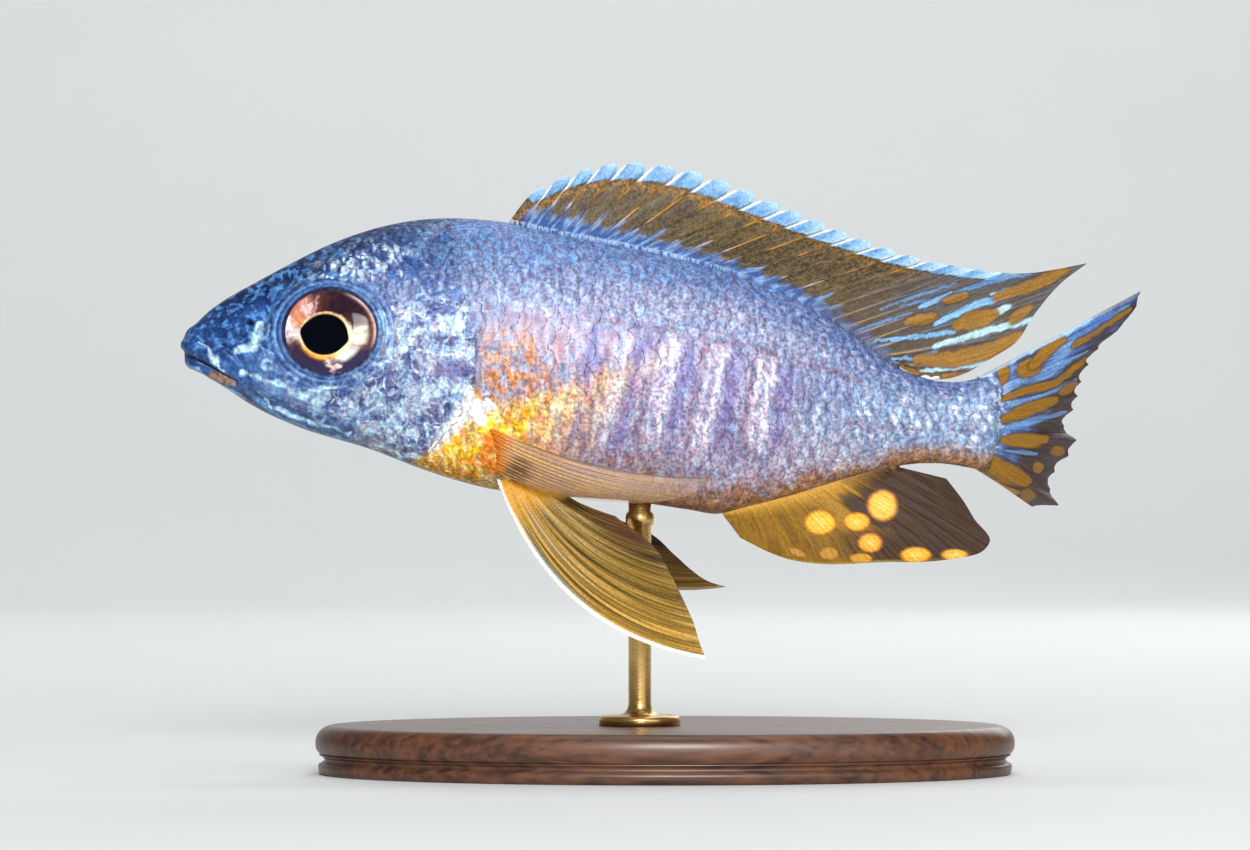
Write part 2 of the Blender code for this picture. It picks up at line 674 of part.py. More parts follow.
def make_pectoral_fin(label, side):
    """The fin behind a gill cover, laid back along the flank and held a little off it.

    Its rays are straight and then bowed together, so they never cross.
    """
    bow = (PECTORAL_ROOT_TOP, PECTORAL_MARGIN[0][1:], PECTORAL_SAG)
    margin = smooth_through([(ray, *unbowed((s, h), *bow)) for ray, s, h in PECTORAL_MARGIN])
    length = PECTORAL_MARGIN[0][1] - PECTORAL_ROOT_TOP[0]

    def surface(u, v):
        f = u / (PECTORAL_RAYS - 1)
        root = np.array(PECTORAL_ROOT_TOP) * (1 - f) + np.array(PECTORAL_ROOT_BOTTOM) * f
        s, h = bowed(root + (margin(u) - root) * v, *bow)
        far = (s - root[0]) / length
        off = PECTORAL_SPREAD * far * (1.5 - 0.5 * far) + 0.8 * math.sin(math.pi * f) * v
        return place(s, side * (flank(*root) - 0.4 * f + off), h)

    rows = [0.06, 0.28, 0.52, 0.78, 1.0]
    columns = fin_columns(PECTORAL_RAYS)
    inward, facing = (-0.7, -0.8 * side, 0.0), (-0.2, side, 0.0)
    return fin_solid("pectoral_fin_" + label, surface, columns, rows, inward, facing)


def make_pelvic_fin(label, side, tips):
    """A pelvic fin: a stout leading edge drawn out to a point, and shorter rays behind it."""
    s = PELVIC_ROOT_FRONT[0]
    bow = ((s, float(belly_curve(s)[0])), (tips[0][1], tips[0][3]), PELVIC_SAG)
    table = np.array([(ray, out, *unbowed((s, h), *bow)) for ray, s, out, h in tips])

    def surface(u, v):
        f = u / (PELVIC_RAYS - 1)
        s, root_out = np.array(PELVIC_ROOT_FRONT) * (1 - f) + np.array(PELVIC_ROOT_REAR) * f
        root = unbowed((s, float(belly_curve(s)[0]) + 0.4), *bow)
        out, *margin = [np.interp(u, table[:, 0], table[:, i]) for i in (1, 2, 3)]
        s, h = bowed(root + (np.array(margin) - root) * v, *bow)
        return place(s, side * (root_out + (out - root_out) * v), h)

    columns = []
    for ray in range(PELVIC_RAYS - 1):
        columns += [(ray, 1.0), (ray + 0.25, 0.1), (ray + 0.5, 0.75), (ray + 0.75, 0.1)]
    columns.append((PELVIC_RAYS - 1, 1.0))
    rows = [0.06, 0.26, 0.5, 0.76, 1.0]
    # The fin twists a little, so its thickness lies between the normals at its root and margin
    last = PELVIC_RAYS - 1
    front, middle, rear = [surface(u, 1.0) - surface(u, 0.0) for u in (0, last / 2, last)]
    root_line = surface(last, 0.0) - surface(0, 0.0)
    facing = root_line.cross(middle).normalized() + rear.cross(front).normalized()
    return fin_solid("pelvic_fin_" + label, surface, columns, rows, (-0.3, 0, 1), facing, spines=1)


def make_fins():
    """Every fin, its root cut back to lie face to face with the body."""
    fins = [
        make_dorsal_fin(),
        make_anal_fin(),
        make_tail_fin(),
        make_pectoral_fin("left", -1),
        make_pectoral_fin("right", 1),
        make_pelvic_fin("left", -1, LEFT_PELVIC_TIPS),
        make_pelvic_fin("right", 1, RIGHT_PELVIC_TIPS),
    ]
    clearance = helper(body_solid("fin_clearance", grown=GAP))
    for fin in fins:
        boolean(fin, "DIFFERENCE", clearance)
        settle(fin)
    return fins, clearance


def make_stand(clearance):
    """The oval plinth and the rod that carries the fish."""
    mesh = bmesh.new()
    bmesh.ops.create_cone(mesh, cap_ends=True, segments=PLINTH_SIDES, radius1=0.5, radius2=0.5, depth=1.0)
    size = Matrix.Diagonal((PLINTH_LENGTH * MM, PLINTH_WIDTH * MM, PLINTH_HEIGHT * MM, 1.0))
    mesh.transform(Matrix.Translation((0, 0, PLINTH_HEIGHT / 2 * MM)) @ size)
    plinth = object_of("stand_base", mesh)
    bevel = plinth.modifiers.new("edge", "BEVEL")
    bevel.width = PLINTH_BEVEL * MM
    bevel.segments = 2
    bevel.limit_method = "ANGLE"

    foot = PLINTH_HEIGHT + GAP
    top = BODY_LINE_HEIGHT + float(belly_curve(ROD_PLACE)[0]) + 1.5
    profile = [
        (0.0, top), (ROD_RADIUS, top), (ROD_RADIUS, foot + FLANGE_HEIGHT + 1.4),
        (ROD_RADIUS + 0.4, foot + FLANGE_HEIGHT + 0.5), (ROD_RADIUS + 1.3, foot + FLANGE_HEIGHT),
        (FLANGE_RADIUS - 0.4, foot + FLANGE_HEIGHT), (FLANGE_RADIUS, foot + FLANGE_HEIGHT - 0.4),
        (FLANGE_RADIUS, foot), (0.0, foot),
    ]
    mesh = bmesh.new()
    verts = [mesh.verts.new((r * MM, 0.0, z * MM)) for r, z in profile]
    for a, b in zip(verts, verts[1:]):
        mesh.edges.new((a, b))
    bmesh.ops.spin(mesh, geom=mesh.verts[:] + mesh.edges[:], cent=(0, 0, 0), axis=(0, 0, 1),
                   angle=2 * math.pi, steps=ROD_SIDES, use_merge=True)
    bmesh.ops.remove_doubles(mesh, verts=mesh.verts, dist=1e-6)
    bmesh.ops.recalc_face_normals(mesh, faces=mesh.faces)
    mesh.transform(Matrix.Translation(((ROD_PLACE - TOTAL_LENGTH / 2) * MM, 0, 0)))
    rod = object_of("stand_rod", mesh)
    boolean(rod, "DIFFERENCE", clearance)
    settle(rod)
    return [plinth, rod]


def material(name, colour, roughness, metallic=0.0):
    """A plain Principled material."""
    made = bpy.data.materials.new(name)
    made.use_nodes = True
    shader = made.node_tree.nodes["Principled BSDF"]
    shader.inputs["Base Color"].default_value = (*colour, 1.0)
    shader.inputs["Roughness"].default_value = roughness
    shader.inputs["Metallic"].default_value = metallic
    return made


def dress(objects):
    """Gives each node its own material."""
    looks = {
        "head": ((0.10, 0.24, 0.56), 0.35),
        "lower_jaw": ((0.13, 0.29, 0.60), 0.35),
        "gill_cover": ((0.22, 0.33, 0.64), 0.35),
        "trunk": ((0.33, 0.37, 0.68), 0.38),
        "tail_stalk": ((0.28, 0.36, 0.72), 0.38),
        "eye": ((0.62, 0.36, 0.16), 0.12),
        "dorsal_fin": ((0.24, 0.19, 0.07), 0.45),
        "anal_fin": ((0.32, 0.23, 0.05), 0.45),
        "tail_fin": ((0.36, 0.28, 0.12), 0.45),
        "pectoral_fin": ((0.50, 0.33, 0.12), 0.4),
        "pelvic_fin": ((0.40, 0.31, 0.06), 0.45),
        "stand_base": ((0.10, 0.055, 0.03), 0.4),
        "stand_rod": ((0.72, 0.55, 0.28), 0.3),
    }
    for obj in objects:
        key = next(name for name in looks if obj.name.startswith(name))
        colour, roughness = looks[key]
        made = material(obj.name + "_finish", colour, roughness, 1.0 if key == "stand_rod" else 0.0)
        obj.data.materials.clear()
        obj.data.materials.append(made)
        obj.data.shade_smooth()
        obj.data.set_sharp_from_angle(angle=math.radians(40))


def main():
    """Builds every node of the model."""
    clear_scene()
    grown_left = helper(eye("socket_left", -1, grown=GAP))
    grown_right = helper(eye("socket_right", 1, grown=GAP))
    eyes = [eye("eye_left", -1), eye("eye_right", 1)]
    head_pieces = make_head(grown_left, grown_right)
    body_pieces = make_trunk_and_stalk()
    fins, clearance = make_fins()
    stand = make_stand(clearance)
    dress([*eyes, *head_pieces, *body_pieces, *fins, *stand])


main()
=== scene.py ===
"""The looks of a life-size peacock cichlid, a male of about 118 mm, on a plain display stand.

The fish is worked out in millimetres. A place on it is (s, y, h): s is measured backwards from the
tip of the snout, y sideways with the fish's left at minus, and h upwards from the line of its body.
Every surface is a function of two parameters on a grid, worked out with numpy as whole arrays, and
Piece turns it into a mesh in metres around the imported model.
"""

import logging
import math
from dataclasses import dataclass, field, replace
from enum import Enum

import bpy
import numpy as np
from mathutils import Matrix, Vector


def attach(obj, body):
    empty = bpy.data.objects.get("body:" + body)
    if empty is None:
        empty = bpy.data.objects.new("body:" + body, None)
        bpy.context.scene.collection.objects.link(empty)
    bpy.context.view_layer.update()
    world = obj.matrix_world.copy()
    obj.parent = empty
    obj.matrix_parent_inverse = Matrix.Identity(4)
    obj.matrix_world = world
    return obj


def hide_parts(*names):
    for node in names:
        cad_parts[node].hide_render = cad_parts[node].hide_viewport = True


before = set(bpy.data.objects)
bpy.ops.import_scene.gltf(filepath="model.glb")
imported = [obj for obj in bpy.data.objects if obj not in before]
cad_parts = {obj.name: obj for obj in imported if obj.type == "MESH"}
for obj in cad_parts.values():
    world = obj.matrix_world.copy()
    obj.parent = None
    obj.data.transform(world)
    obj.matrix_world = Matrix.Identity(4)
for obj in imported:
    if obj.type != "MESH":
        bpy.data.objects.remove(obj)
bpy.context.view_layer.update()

LOG = logging.getLogger("peacock_cichlid")
Array = np.ndarray
Socket = bpy.types.NodeSocket
Material = bpy.types.Material
Thing = bpy.types.Object
MM = 0.001
TOTAL_LENGTH = 118.2
BODY_LENGTH = 99.0
BODY_LINE_HEIGHT = 46.0


class Side(Enum):
    """A side of the fish, with the sign of its y."""

    LEFT = -1
    RIGHT = 1

    @property
    def label(self) -> str:
        """The side's word in the names of pieces."""
        return self.name.lower()


class Slot(Enum):
    """The record's material slots."""

    HEAD = "head_skin"
    FLANK = "flank_skin"
    EYE = "eye"
    UPRIGHT = "upright_fins"
    PAIRED = "paired_fins"
    WOOD = "stand_wood"
    METAL = "stand_metal"


def ease(x: Array, start: float, end: float) -> Array:
    """0 before start, 1 after end, and a smooth rise 3f^2 - 2f^3 between them."""
    f = np.clip((np.asarray(x, float) - start) / (end - start), 0.0, 1.0)
    return f * f * (3 - 2 * f)


def fall(x: Array, start: float, end: float) -> Array:
    """1 before start, 0 after end: one minus ease."""
    return 1 - ease(x, start, end)


def hump(x: Array, middle: float, width: float) -> Array:
    """A rounded hump of height 1 at middle: the exponential of minus the squared distance in widths."""
    return np.exp(-(((np.asarray(x, float) - middle) / width) ** 2))


def srgb(code: int) -> Array:
    """A colour of the screen, written 0xRRGGBB, as linear light."""
    c = np.array((code >> 16, code >> 8 & 255, code & 255), float) / 255.0
    return np.where(c <= 0.04045, c / 12.92, ((c + 0.055) / 1.055) ** 2.4)


def over(base: Array, colour: Array, mask: Array) -> Array:
    """Lays a colour over a base by a mask of 0 to 1."""
    return base + (colour - base) * np.clip(mask, 0, 1)[..., None]


def plain(like: Array, code: int) -> Array:
    """One screen colour at each place of an array."""
    return np.broadcast_to(srgb(code), (*np.shape(like), 3))


def painted(base: Array, *coats: tuple) -> Array:
    """Lays coats over a base, in order.

    Args:
        base: the colours under them.
        coats: for each coat its screen colour, or an array of linear colours, and its mask.

    Returns:
        Linear colours.
    """
    for colour, mask in coats:
        base = over(base, srgb(colour) if isinstance(colour, int) else colour, mask)
    return base


def between(start: tuple, end: tuple, f: Array) -> Array:
    """Places on the straight line from start to end, at shares f of it."""
    return np.array(start) * (1 - f)[..., None] + np.array(end) * f[..., None]


def upright(place: Array, y: Array) -> Array:
    """Places (s, h) in side view set at y, as (s, y, h)."""
    return np.stack([place[..., 0], y, place[..., 1]], axis=-1)


def off_turn(angle: Array, middle: float) -> Array:
    """How far angles are from a middle one, the short way round, in radians."""
    return np.angle(np.exp(1j * (angle - middle)))


def rings(count: int, radii: Array) -> tuple[Array, Array]:
    """A polar grid: each radius, and each of count angles, as rows of rings."""
    angle = np.linspace(0, 2 * math.pi, count, endpoint=False)
    return tuple(np.meshgrid(radii, angle, indexing="ij"))


@dataclass(frozen=True)
class Curve:
    """A smooth curve through (x, value, ...) points.

    It is a cubic between neighbours, with each slope that of the chord over both neighbours.
    stretch is a power put on x first: 0.5 lets a profile start upright, as a blunt nose does.
    """

    points: tuple
    stretch: float = 1.0

    def __call__(self, x: Array) -> Array:
        """The curve's value at each x.

        Args:
            x: places along the curve, of any shape.

        Returns:
            The values, with one more axis where the points hold more than one value.
        """
        table = np.array(self.points, float)
        knots = np.maximum(table[:, 0], 0) ** self.stretch
        values = table[:, 1:]
        slopes = np.gradient(values, knots, axis=0)
        t = np.clip(np.maximum(np.asarray(x, float), 0.0) ** self.stretch, knots[0], knots[-1])
        i = np.clip(np.searchsorted(knots, t) - 1, 0, len(knots) - 2)
        span = (knots[i + 1] - knots[i])[..., None]
        f = (t - knots[i])[..., None] / span
        found = (
            values[i] * (1 + 2 * f) * (1 - f) ** 2
            + values[i + 1] * f * f * (3 - 2 * f)
            + span * (slopes[i] * f * (1 - f) ** 2 - slopes[i + 1] * f * f * (1 - f))
        )
        return found[..., 0] if found.shape[-1] == 1 else found


@dataclass(frozen=True)
class Grain:
    """Smooth random variation over a plane, the same in each run."""

    seed: int
    cells: int = 256

    def __call__(self, x: Array, y: Array, octaves: int = 1) -> Array:
        """Value noise: a seeded random lattice, blended by 3f^2 - 2f^3, in halving octaves.

        Args:
            x: places across the lattice, in cells.
            y: places up the lattice, in cells.
            octaves: how many layers are added, each half as strong and twice as fine.

        Returns:
            Values of 0 to 1.
        """
        lattice = np.random.default_rng(self.seed).random((self.cells, self.cells))
        total, weight = np.zeros(np.broadcast(x, y).shape), 0
        for octave in range(octaves):
            scale, strength = 2**octave, 0.5**octave
            u, v = np.asarray(x) * scale + 37.7 * octave, np.asarray(y) * scale + 11.3 * octave
            i, j = np.floor(u).astype(int), np.floor(v).astype(int)
            f, g = ease(u - i, 0, 1), ease(v - j, 0, 1)
            i0, i1 = i % self.cells, (i + 1) % self.cells
            j0, j1 = j % self.cells, (j + 1) % self.cells
            low = lattice[i0, j0] * (1 - f) + lattice[i1, j0] * f
            high = lattice[i0, j1] * (1 - f) + lattice[i1, j1] * f
            total += (low * (1 - g) + high * g) * strength
            weight += strength
        return total / weight


def nearest(points: tuple, s: Array, h: Array) -> tuple[Array, Array, Array]:
    """How far each place is from a line through points in side view.

    Args:
        points: (s, h) corners of the line.
        s: places along the fish.
        h: places up the fish.

    Returns:
        The distance, the share of the line's points passed (0 to 1), and 1 above or -1 below it.
    """
    best = np.full(np.shape(s), np.inf)
    along, above = np.zeros(np.shape(s)), np.ones(np.shape(s))
    count = len(points) - 1
    for i, ((s0, h0), (s1, h1)) in enumerate(zip(points, points[1:])):
        ds, dh = s1 - s0, h1 - h0
        q = np.clip(((s - s0) * ds + (h - h0) * dh) / (ds * ds + dh * dh), 0, 1)
        off_s, off_h = s - s0 - q * ds, h - h0 - q * dh
        distance = np.hypot(off_s, off_h)
        closer = distance < best
        best = np.where(closer, distance, best)
        along = np.where(closer, (i + q) / count, along)
        above = np.where(closer, np.sign(ds * off_h - dh * off_s), above)
    return best, along, above


def rounded(points: tuple, steps: int = 5) -> tuple:
    """A smooth line through (s, h) points, with that many steps between neighbours."""
    curve = Curve(tuple((i, *p) for i, p in enumerate(points)))
    places = np.linspace(0, len(points) - 1, (len(points) - 1) * steps + 1)
    return tuple(map(tuple, curve(places)))


@dataclass(frozen=True)
class Stroke:
    """A streak of colour along a line in side view."""

    points: tuple
    width: float
    colour: int
    strength: float = 1.0
    blur: float = 0.35
    taper: float = 0.0

    def mask(self, s: Array, h: Array) -> Array:
        """How strongly the streak shows: full inside its width, and fading over its blur."""
        distance, along, _ = nearest(self.points, s, h)
        half = self.width / 2 * (1 - self.taper * np.abs(2 * along - 1) ** 2)
        return self.strength * fall(distance, half * (1 - self.blur), half * (1 + self.blur))

    def lay(self, base: Array, s: Array, h: Array) -> Array:
        """Lays the streak over the colours of a base."""
        return over(base, srgb(self.colour), self.mask(s, h))


@dataclass(frozen=True)
class Spot:
    """An oval of colour in side view, with an optional rim."""

    centre: tuple
    radii: tuple
    colour: int
    strength: float = 1.0
    rim: int | None = None
    turn: float = 0.0
    blur: float = 0.18

    def reach(self, s: Array, h: Array) -> Array:
        """The distance from the middle, as 1 on the oval's edge."""
        angle = math.radians(self.turn)
        ds, dh = s - self.centre[0], h - self.centre[1]
        across = ds * math.cos(angle) + dh * math.sin(angle)
        up = -ds * math.sin(angle) + dh * math.cos(angle)
        return np.hypot(across / self.radii[0], up / self.radii[1])

    def mask(self, s: Array, h: Array) -> Array:
        """How strongly the oval shows: full inside, and fading at its edge."""
        return self.strength * fall(self.reach(s, h), 1 - self.blur, 1 + self.blur)

    def lay(self, base: Array, s: Array, h: Array) -> Array:
        """Lays the oval, and its rim first, over the colours of a base."""
        if self.rim is not None:
            base = over(base, srgb(self.rim), 0.85 * fall(self.reach(s, h), 1.06, 1.26))
        return over(base, srgb(self.colour), self.mask(s, h))


def outlined(marks: tuple, colour: int, dark: int, width: float) -> tuple:
    """The same marks, with a darker and wider one put under each of that colour."""
    found = []
    for mark in marks:
        if mark.colour == colour:
            if isinstance(mark, Stroke):
                found.append(replace(mark, colour=dark, width=mark.width + 2 * width, strength=0.8, blur=0.2))
            else:
                radii = tuple(radius + width for radius in mark.radii)
                found.append(replace(mark, colour=dark, radii=radii, strength=0.8))
        found.append(mark)
    return tuple(found)


def lay_all(base: Array, marks: tuple, s: Array, h: Array) -> Array:
    """Lays each of the marks over a base, in order."""
    for mark in marks:
        base = mark.lay(base, s, h)
    return base


class Finish:
    """A material that is built up from nodes round one Principled shader."""

    def __init__(self, name: str):
        """Starts an empty material of that name."""
        self.made = bpy.data.materials.new(name)
        self.made.use_nodes = True
        self.tree = self.made.node_tree
        self.shader = self.tree.nodes["Principled BSDF"]
        self.output = self.tree.nodes["Material Output"]

    def set(self, **values: float | tuple) -> "Finish":
        """Sets constants on the shader's own sockets, named with _ for spaces."""
        for key, value in values.items():
            self.shader.inputs[key.replace("_", " ")].default_value = value
        return self

    def node(self, kind: str, inputs: dict | None = None, **settings: object) -> bpy.types.Node:
        """A new node.

        Args:
            kind: its type, without the leading ShaderNode.
            inputs: values or output sockets for its inputs, by name or number.
            settings: properties of the node.

        Returns:
            The node.
        """
        made = self.tree.nodes.new("ShaderNode" + kind)
        for key, value in settings.items():
            setattr(made, key, value)
        for key, value in (inputs or {}).items():
            if isinstance(value, Socket):
                self.tree.links.new(value, made.inputs[key])
            else:
                made.inputs[key].default_value = value
        return made

    def link(self, output: Socket, name: str) -> None:
        """Joins an output to one of the shader's inputs."""
        self.tree.links.new(output, self.shader.inputs[name])

    def places(self) -> Socket:
        """The object's own coordinates, in metres."""
        return self.node("TexCoord").outputs["Object"]

    def attribute(self, name: str, output: str = "Color") -> Socket:
        """An attribute of the mesh."""
        return self.node("Attribute", attribute_name=name).outputs[output]

    def noise(self, size: float, detail: float = 3.0, at: Socket | None = None,
              distortion: float = 0.0) -> Socket:
        """Noise with features of about that size in mm, from 0 to 1."""
        where = at or self.places()
        values = {"Vector": where, "Scale": 1 / (size * MM), "Detail": detail, "Distortion": distortion}
        return self.node("TexNoise", values).outputs[0]

    def ramp(self, value: Socket, low: float, high: float,
             to_low: float = 0.0, to_high: float = 1.0) -> Socket:
        """A value carried from one range to another, and held at its ends."""
        values = {0: value, 1: low, 2: high, 3: to_low, 4: to_high}
        return self.node("MapRange", values).outputs[0]

    def mix(self, factor: Socket, one: object, two: object) -> Socket:
        """Two colours mixed by a factor."""
        return self.node("Mix", {0: factor, 6: one, 7: two}, data_type="RGBA").outputs[2]

    def times(self, one: Socket, two: Socket) -> Socket:
        """The product of two values."""
        return self.node("Math", {0: one, 1: two}, operation="MULTIPLY").outputs[0]

    def varied(self, tint: Socket, value: Socket, low: tuple,
               high: tuple, blur: float = 0.14) -> Socket:
        """A tint multiplied by a colour that goes from low to high as a noise value passes a half."""
        shade = self.mix(self.ramp(value, 0.5 - blur, 0.5 + blur), (*low, 1), (*high, 1))
        return self.vector("MULTIPLY", tint, shade)

    def mottled(self, tint: Socket) -> Socket:
        """Lays the head's mother-of-pearl mottling over a tint, as strongly as the attribute pearl says.

        Voronoi cells of about 1.5 mm, pushed about by noise, are each more purple or more pearly, and
        have thin pale edges; noise blotches and rust flecks break them up.

        Args:
            tint: the colour under it.

        Returns:
            The mottled colour.
        """
        pearl = self.attribute("pearl", "Fac")
        push = self.node("TexNoise", {"Vector": self.places(), "Scale": 1 / (1.9 * MM), "Detail": 2})
        push = self.vector("SUBTRACT", push.outputs["Color"], (0.5, 0.5, 0.5))
        where = self.vector("ADD", self.places(), self.vector("SCALE", push, 2.6 * MM))
        cells = {"Vector": where, "Scale": 1 / (1.8 * MM)}
        each = self.node("TexVoronoi", cells).outputs["Color"]
        edge = self.node("TexVoronoi", cells, feature="DISTANCE_TO_EDGE").outputs[0]
        long = self.node("Mapping", {"Vector": where, "Scale": (0.7, 1, 1.15)}).outputs[0]
        blotch, fleck, grit = self.noise(2.4, 2.5, long), self.noise(1.1, 2), self.noise(0.7, 2.5, long)
        worms = self.times(self.ramp(edge, 0.12, 0.02), self.ramp(fleck, 0.45, 0.6, 0.15, 0.75))
        layers = (
            (self.ramp(each, 0.55, 0.3, 0, 0.6), 0x505E90),
            (self.ramp(blotch, 0.5, 0.41, 0, 0.9), 0x3E4C80),
            (self.ramp(grit, 0.48, 0.38, 0, 0.45), 0x404E7E),
            (self.ramp(fleck, 0.58, 0.66, 0, 0.45), 0x92646E),
            (self.ramp(each, 0.5, 0.72, 0, 0.42), 0x92B0D0),
            (self.ramp(blotch, 0.53, 0.6, 0, 0.72), 0xBCD0E2),
            (self.ramp(grit, 0.54, 0.64, 0, 0.42), 0xCEE0EA),
            (worms, 0xC4DCEC),
        )
        for share, colour in layers:
            tint = self.mix(self.times(share, pearl), tint, (*srgb(colour), 1))
        return tint

    def bump(self, height: Socket, depth: float, strength: float, under: dict | None = None) -> Socket:
        """A bump of that depth in mm, over the one given as under["Normal"]."""
        values = {"Height": height, "Distance": depth * MM, "Strength": strength}
        return self.node("Bump", values | (under or {})).outputs[0]

    def dress(self, colour: Socket, cloud: Socket, rough: tuple, bump: Socket) -> Material:
        """Links what most finishes have to the shader.

        Args:
            colour: the base colour.
            cloud: a noise for the roughness.
            rough: the roughness where the noise is low, and where it is high.
            bump: the normal.

        Returns:
            The material.
        """
        self.link(colour, "Base Color")
        self.link(self.ramp(cloud, 0.3, 0.7, *rough), "Roughness")
        self.link(bump, "Normal")
        return self.made

    def stretched(self, scale: tuple, turn: tuple = (0, 0, 0)) -> Socket:
        """The object's coordinates, scaled and turned."""
        return self.node("Mapping", {"Vector": self.places(), "Scale": scale, "Rotation": turn}).outputs[0]

    def vector(self, way: str, one: Socket, two: object) -> Socket:
        """Two vectors combined, or a vector scaled by a value."""
        second = 3 if way == "SCALE" else 1
        return self.node("VectorMath", {0: one, second: two}, operation=way).outputs[0]


@dataclass(frozen=True)
class SkinFinish:
    """Moist, faintly metallic skin with pearly mottling and fine flecks over the colours of its mesh."""

    name: str
    metallic: float = 0.12
    roughness: float = 0.34
    fleck: float = 0.3
    fleck_size: float = 0.5
    pit_depth: float = 0.035

    def material(self) -> Material:
        """Builds the material: the mesh's tint, mottled and flecked by noises, over a fine bump."""
        made = Finish(self.name)
        made.set(Metallic=self.metallic, Specular_IOR_Level=0.16, Coat_Weight=0.05, Coat_Roughness=0.2)
        tint = made.mottled(made.attribute("tint"))
        fine, broad = made.noise(self.fleck_size, 3), made.noise(self.fleck_size * 3, 3)
        low, high = 1 - self.fleck, 1 + self.fleck
        colour = made.varied(tint, fine, (low, low, low + 0.05), (high, high, high - 0.05), 0.09)
        colour = made.varied(colour, broad, (low, low, low + 0.08), (high, high + 0.1, high))
        rough = (self.roughness - 0.07, self.roughness + 0.1)
        return made.dress(colour, broad, rough, made.bump(fine, self.pit_depth, 0.6))


@dataclass(frozen=True)
class ScaleFinish:
    """Scales: the colours of the mesh on a pearly, finely furrowed plate."""

    name: str
    metallic: float = 0.12
    roughness: float = 0.4
    furrow_depth: float = 0.008

    def material(self) -> Material:
        """Builds the material: tint, mottling, stipple, and furrows that run along each scale."""
        made = Finish(self.name)
        made.set(Metallic=self.metallic, Specular_IOR_Level=0.18, Coat_Weight=0.04, Coat_Roughness=0.22)
        tint = made.mottled(made.attribute("tint"))
        tall = made.stretched((1.7, 1, 0.55))
        fine, patch, warm = made.noise(0.42, 3), made.noise(1.1, 3, tall), made.noise(0.75, 2, tall)
        colour = made.varied(tint, patch, (0.7, 0.7, 0.78), (1.3, 1.34, 1.24))
        colour = made.varied(colour, fine, (0.68, 0.68, 0.73), (1.3, 1.32, 1.25), 0.09)
        colour = made.varied(colour, warm, (0.9, 1.03, 1.1), (1.14, 0.9, 0.86))
        own = made.node("UVMap", None, uv_map="plate").outputs[0]
        furrows = made.node("TexWave", {"Vector": own, "Scale": 2.2, "Distortion": 1.4, "Detail": 1},
                            wave_type="BANDS", bands_direction="Y").outputs["Fac"]
        grooved = {"Normal": made.bump(furrows, self.furrow_depth, 0.35)}
        rough = (self.roughness - 0.1, self.roughness + 0.1)
        return made.dress(colour, fine, rough, made.bump(fine, 0.02, 0.5, grooved))


@dataclass(frozen=True)
class FinFinish:
    """A thin moist membrane that lets some light through, with its colours on the mesh."""

    name: str
    glow: float = 0.16
    clear: bool = False
    roughness: float = 0.45
    grain: float = 0.28
    grain_size: float = 0.22

    def material(self) -> Material:
        """Builds the material: grained tint on a Principled shader, with some translucent light.

        A clear fin is also see-through where its attribute solid is low.
        """
        made = Finish(self.name)
        made.set(Specular_IOR_Level=0.18, Coat_Weight=0.04, Coat_Roughness=0.25)
        fine = made.noise(self.grain_size, 4)
        soft = made.ramp(fine, 0.3, 0.7, 1 - self.grain, 1 + self.grain)
        colour = made.vector("SCALE", made.attribute("tint"), soft)
        made.dress(colour, fine, (self.roughness - 0.06, self.roughness + 0.1), made.bump(fine, 0.02, 0.5))
        through = made.node("BsdfTranslucent", {"Color": colour}).outputs[0]
        lit = made.node("MixShader", {0: self.glow, 1: made.shader.outputs[0], 2: through}).outputs[0]
        if self.clear:
            solid = made.attribute("solid", "Fac")
            bare = made.node("BsdfTransparent").outputs[0]
            lit = made.node("MixShader", {0: solid, 1: bare, 2: lit}).outputs[0]
        made.tree.links.new(lit, made.output.inputs["Surface"])
        return made.made


@dataclass(frozen=True)
class IrisFinish:
    """A metallic iris with fine radial streaks, and the black pupil inside it."""

    name: str

    def material(self) -> Material:
        """Builds the material: the mesh's tint with streaks on its polar map; the pupil has no metal."""
        made = Finish(self.name)
        made.set(Roughness=0.45, Specular_IOR_Level=0)
        polar = made.node("UVMap", None, uv_map="polar").outputs[0]
        drawn = made.vector("MULTIPLY", polar, (70, 4, 1))
        streaks = made.node("TexNoise", {"Vector": drawn, "Scale": 1, "Detail": 4}).outputs[0]
        level = made.ramp(streaks, 0.3, 0.7, 0.74, 1.36)
        made.link(made.vector("SCALE", made.attribute("tint"), level), "Base Color")
        made.link(made.ramp(made.attribute("metal", "Fac"), 0, 1, 0, 0.12), "Metallic")
        made.link(made.bump(streaks, 0.05, 0.5), "Normal")
        return made.made


@dataclass(frozen=True)
class CorneaFinish:
    """The clear front of the eye: see-through, with gloss that grows towards its edge."""

    name: str

    def material(self) -> Material:
        """Builds the material: a transparent shader and a glossy one, mixed by Fresnel."""
        made = Finish(self.name)
        clear = made.node("BsdfTransparent", {"Color": (0.97, 0.98, 1, 1)}).outputs[0]
        gloss = made.node("BsdfAnisotropic", {"Color": (1, 1, 1, 1), "Roughness": 0.03}).outputs[0]
        share = made.node("Fresnel", {"IOR": 1.13}).outputs[0]
        both = made.node("MixShader", {0: share, 1: clear, 2: gloss}).outputs[0]
        made.tree.links.new(both, made.output.inputs["Surface"])
        made.tree.nodes.remove(made.shader)
        return made.made


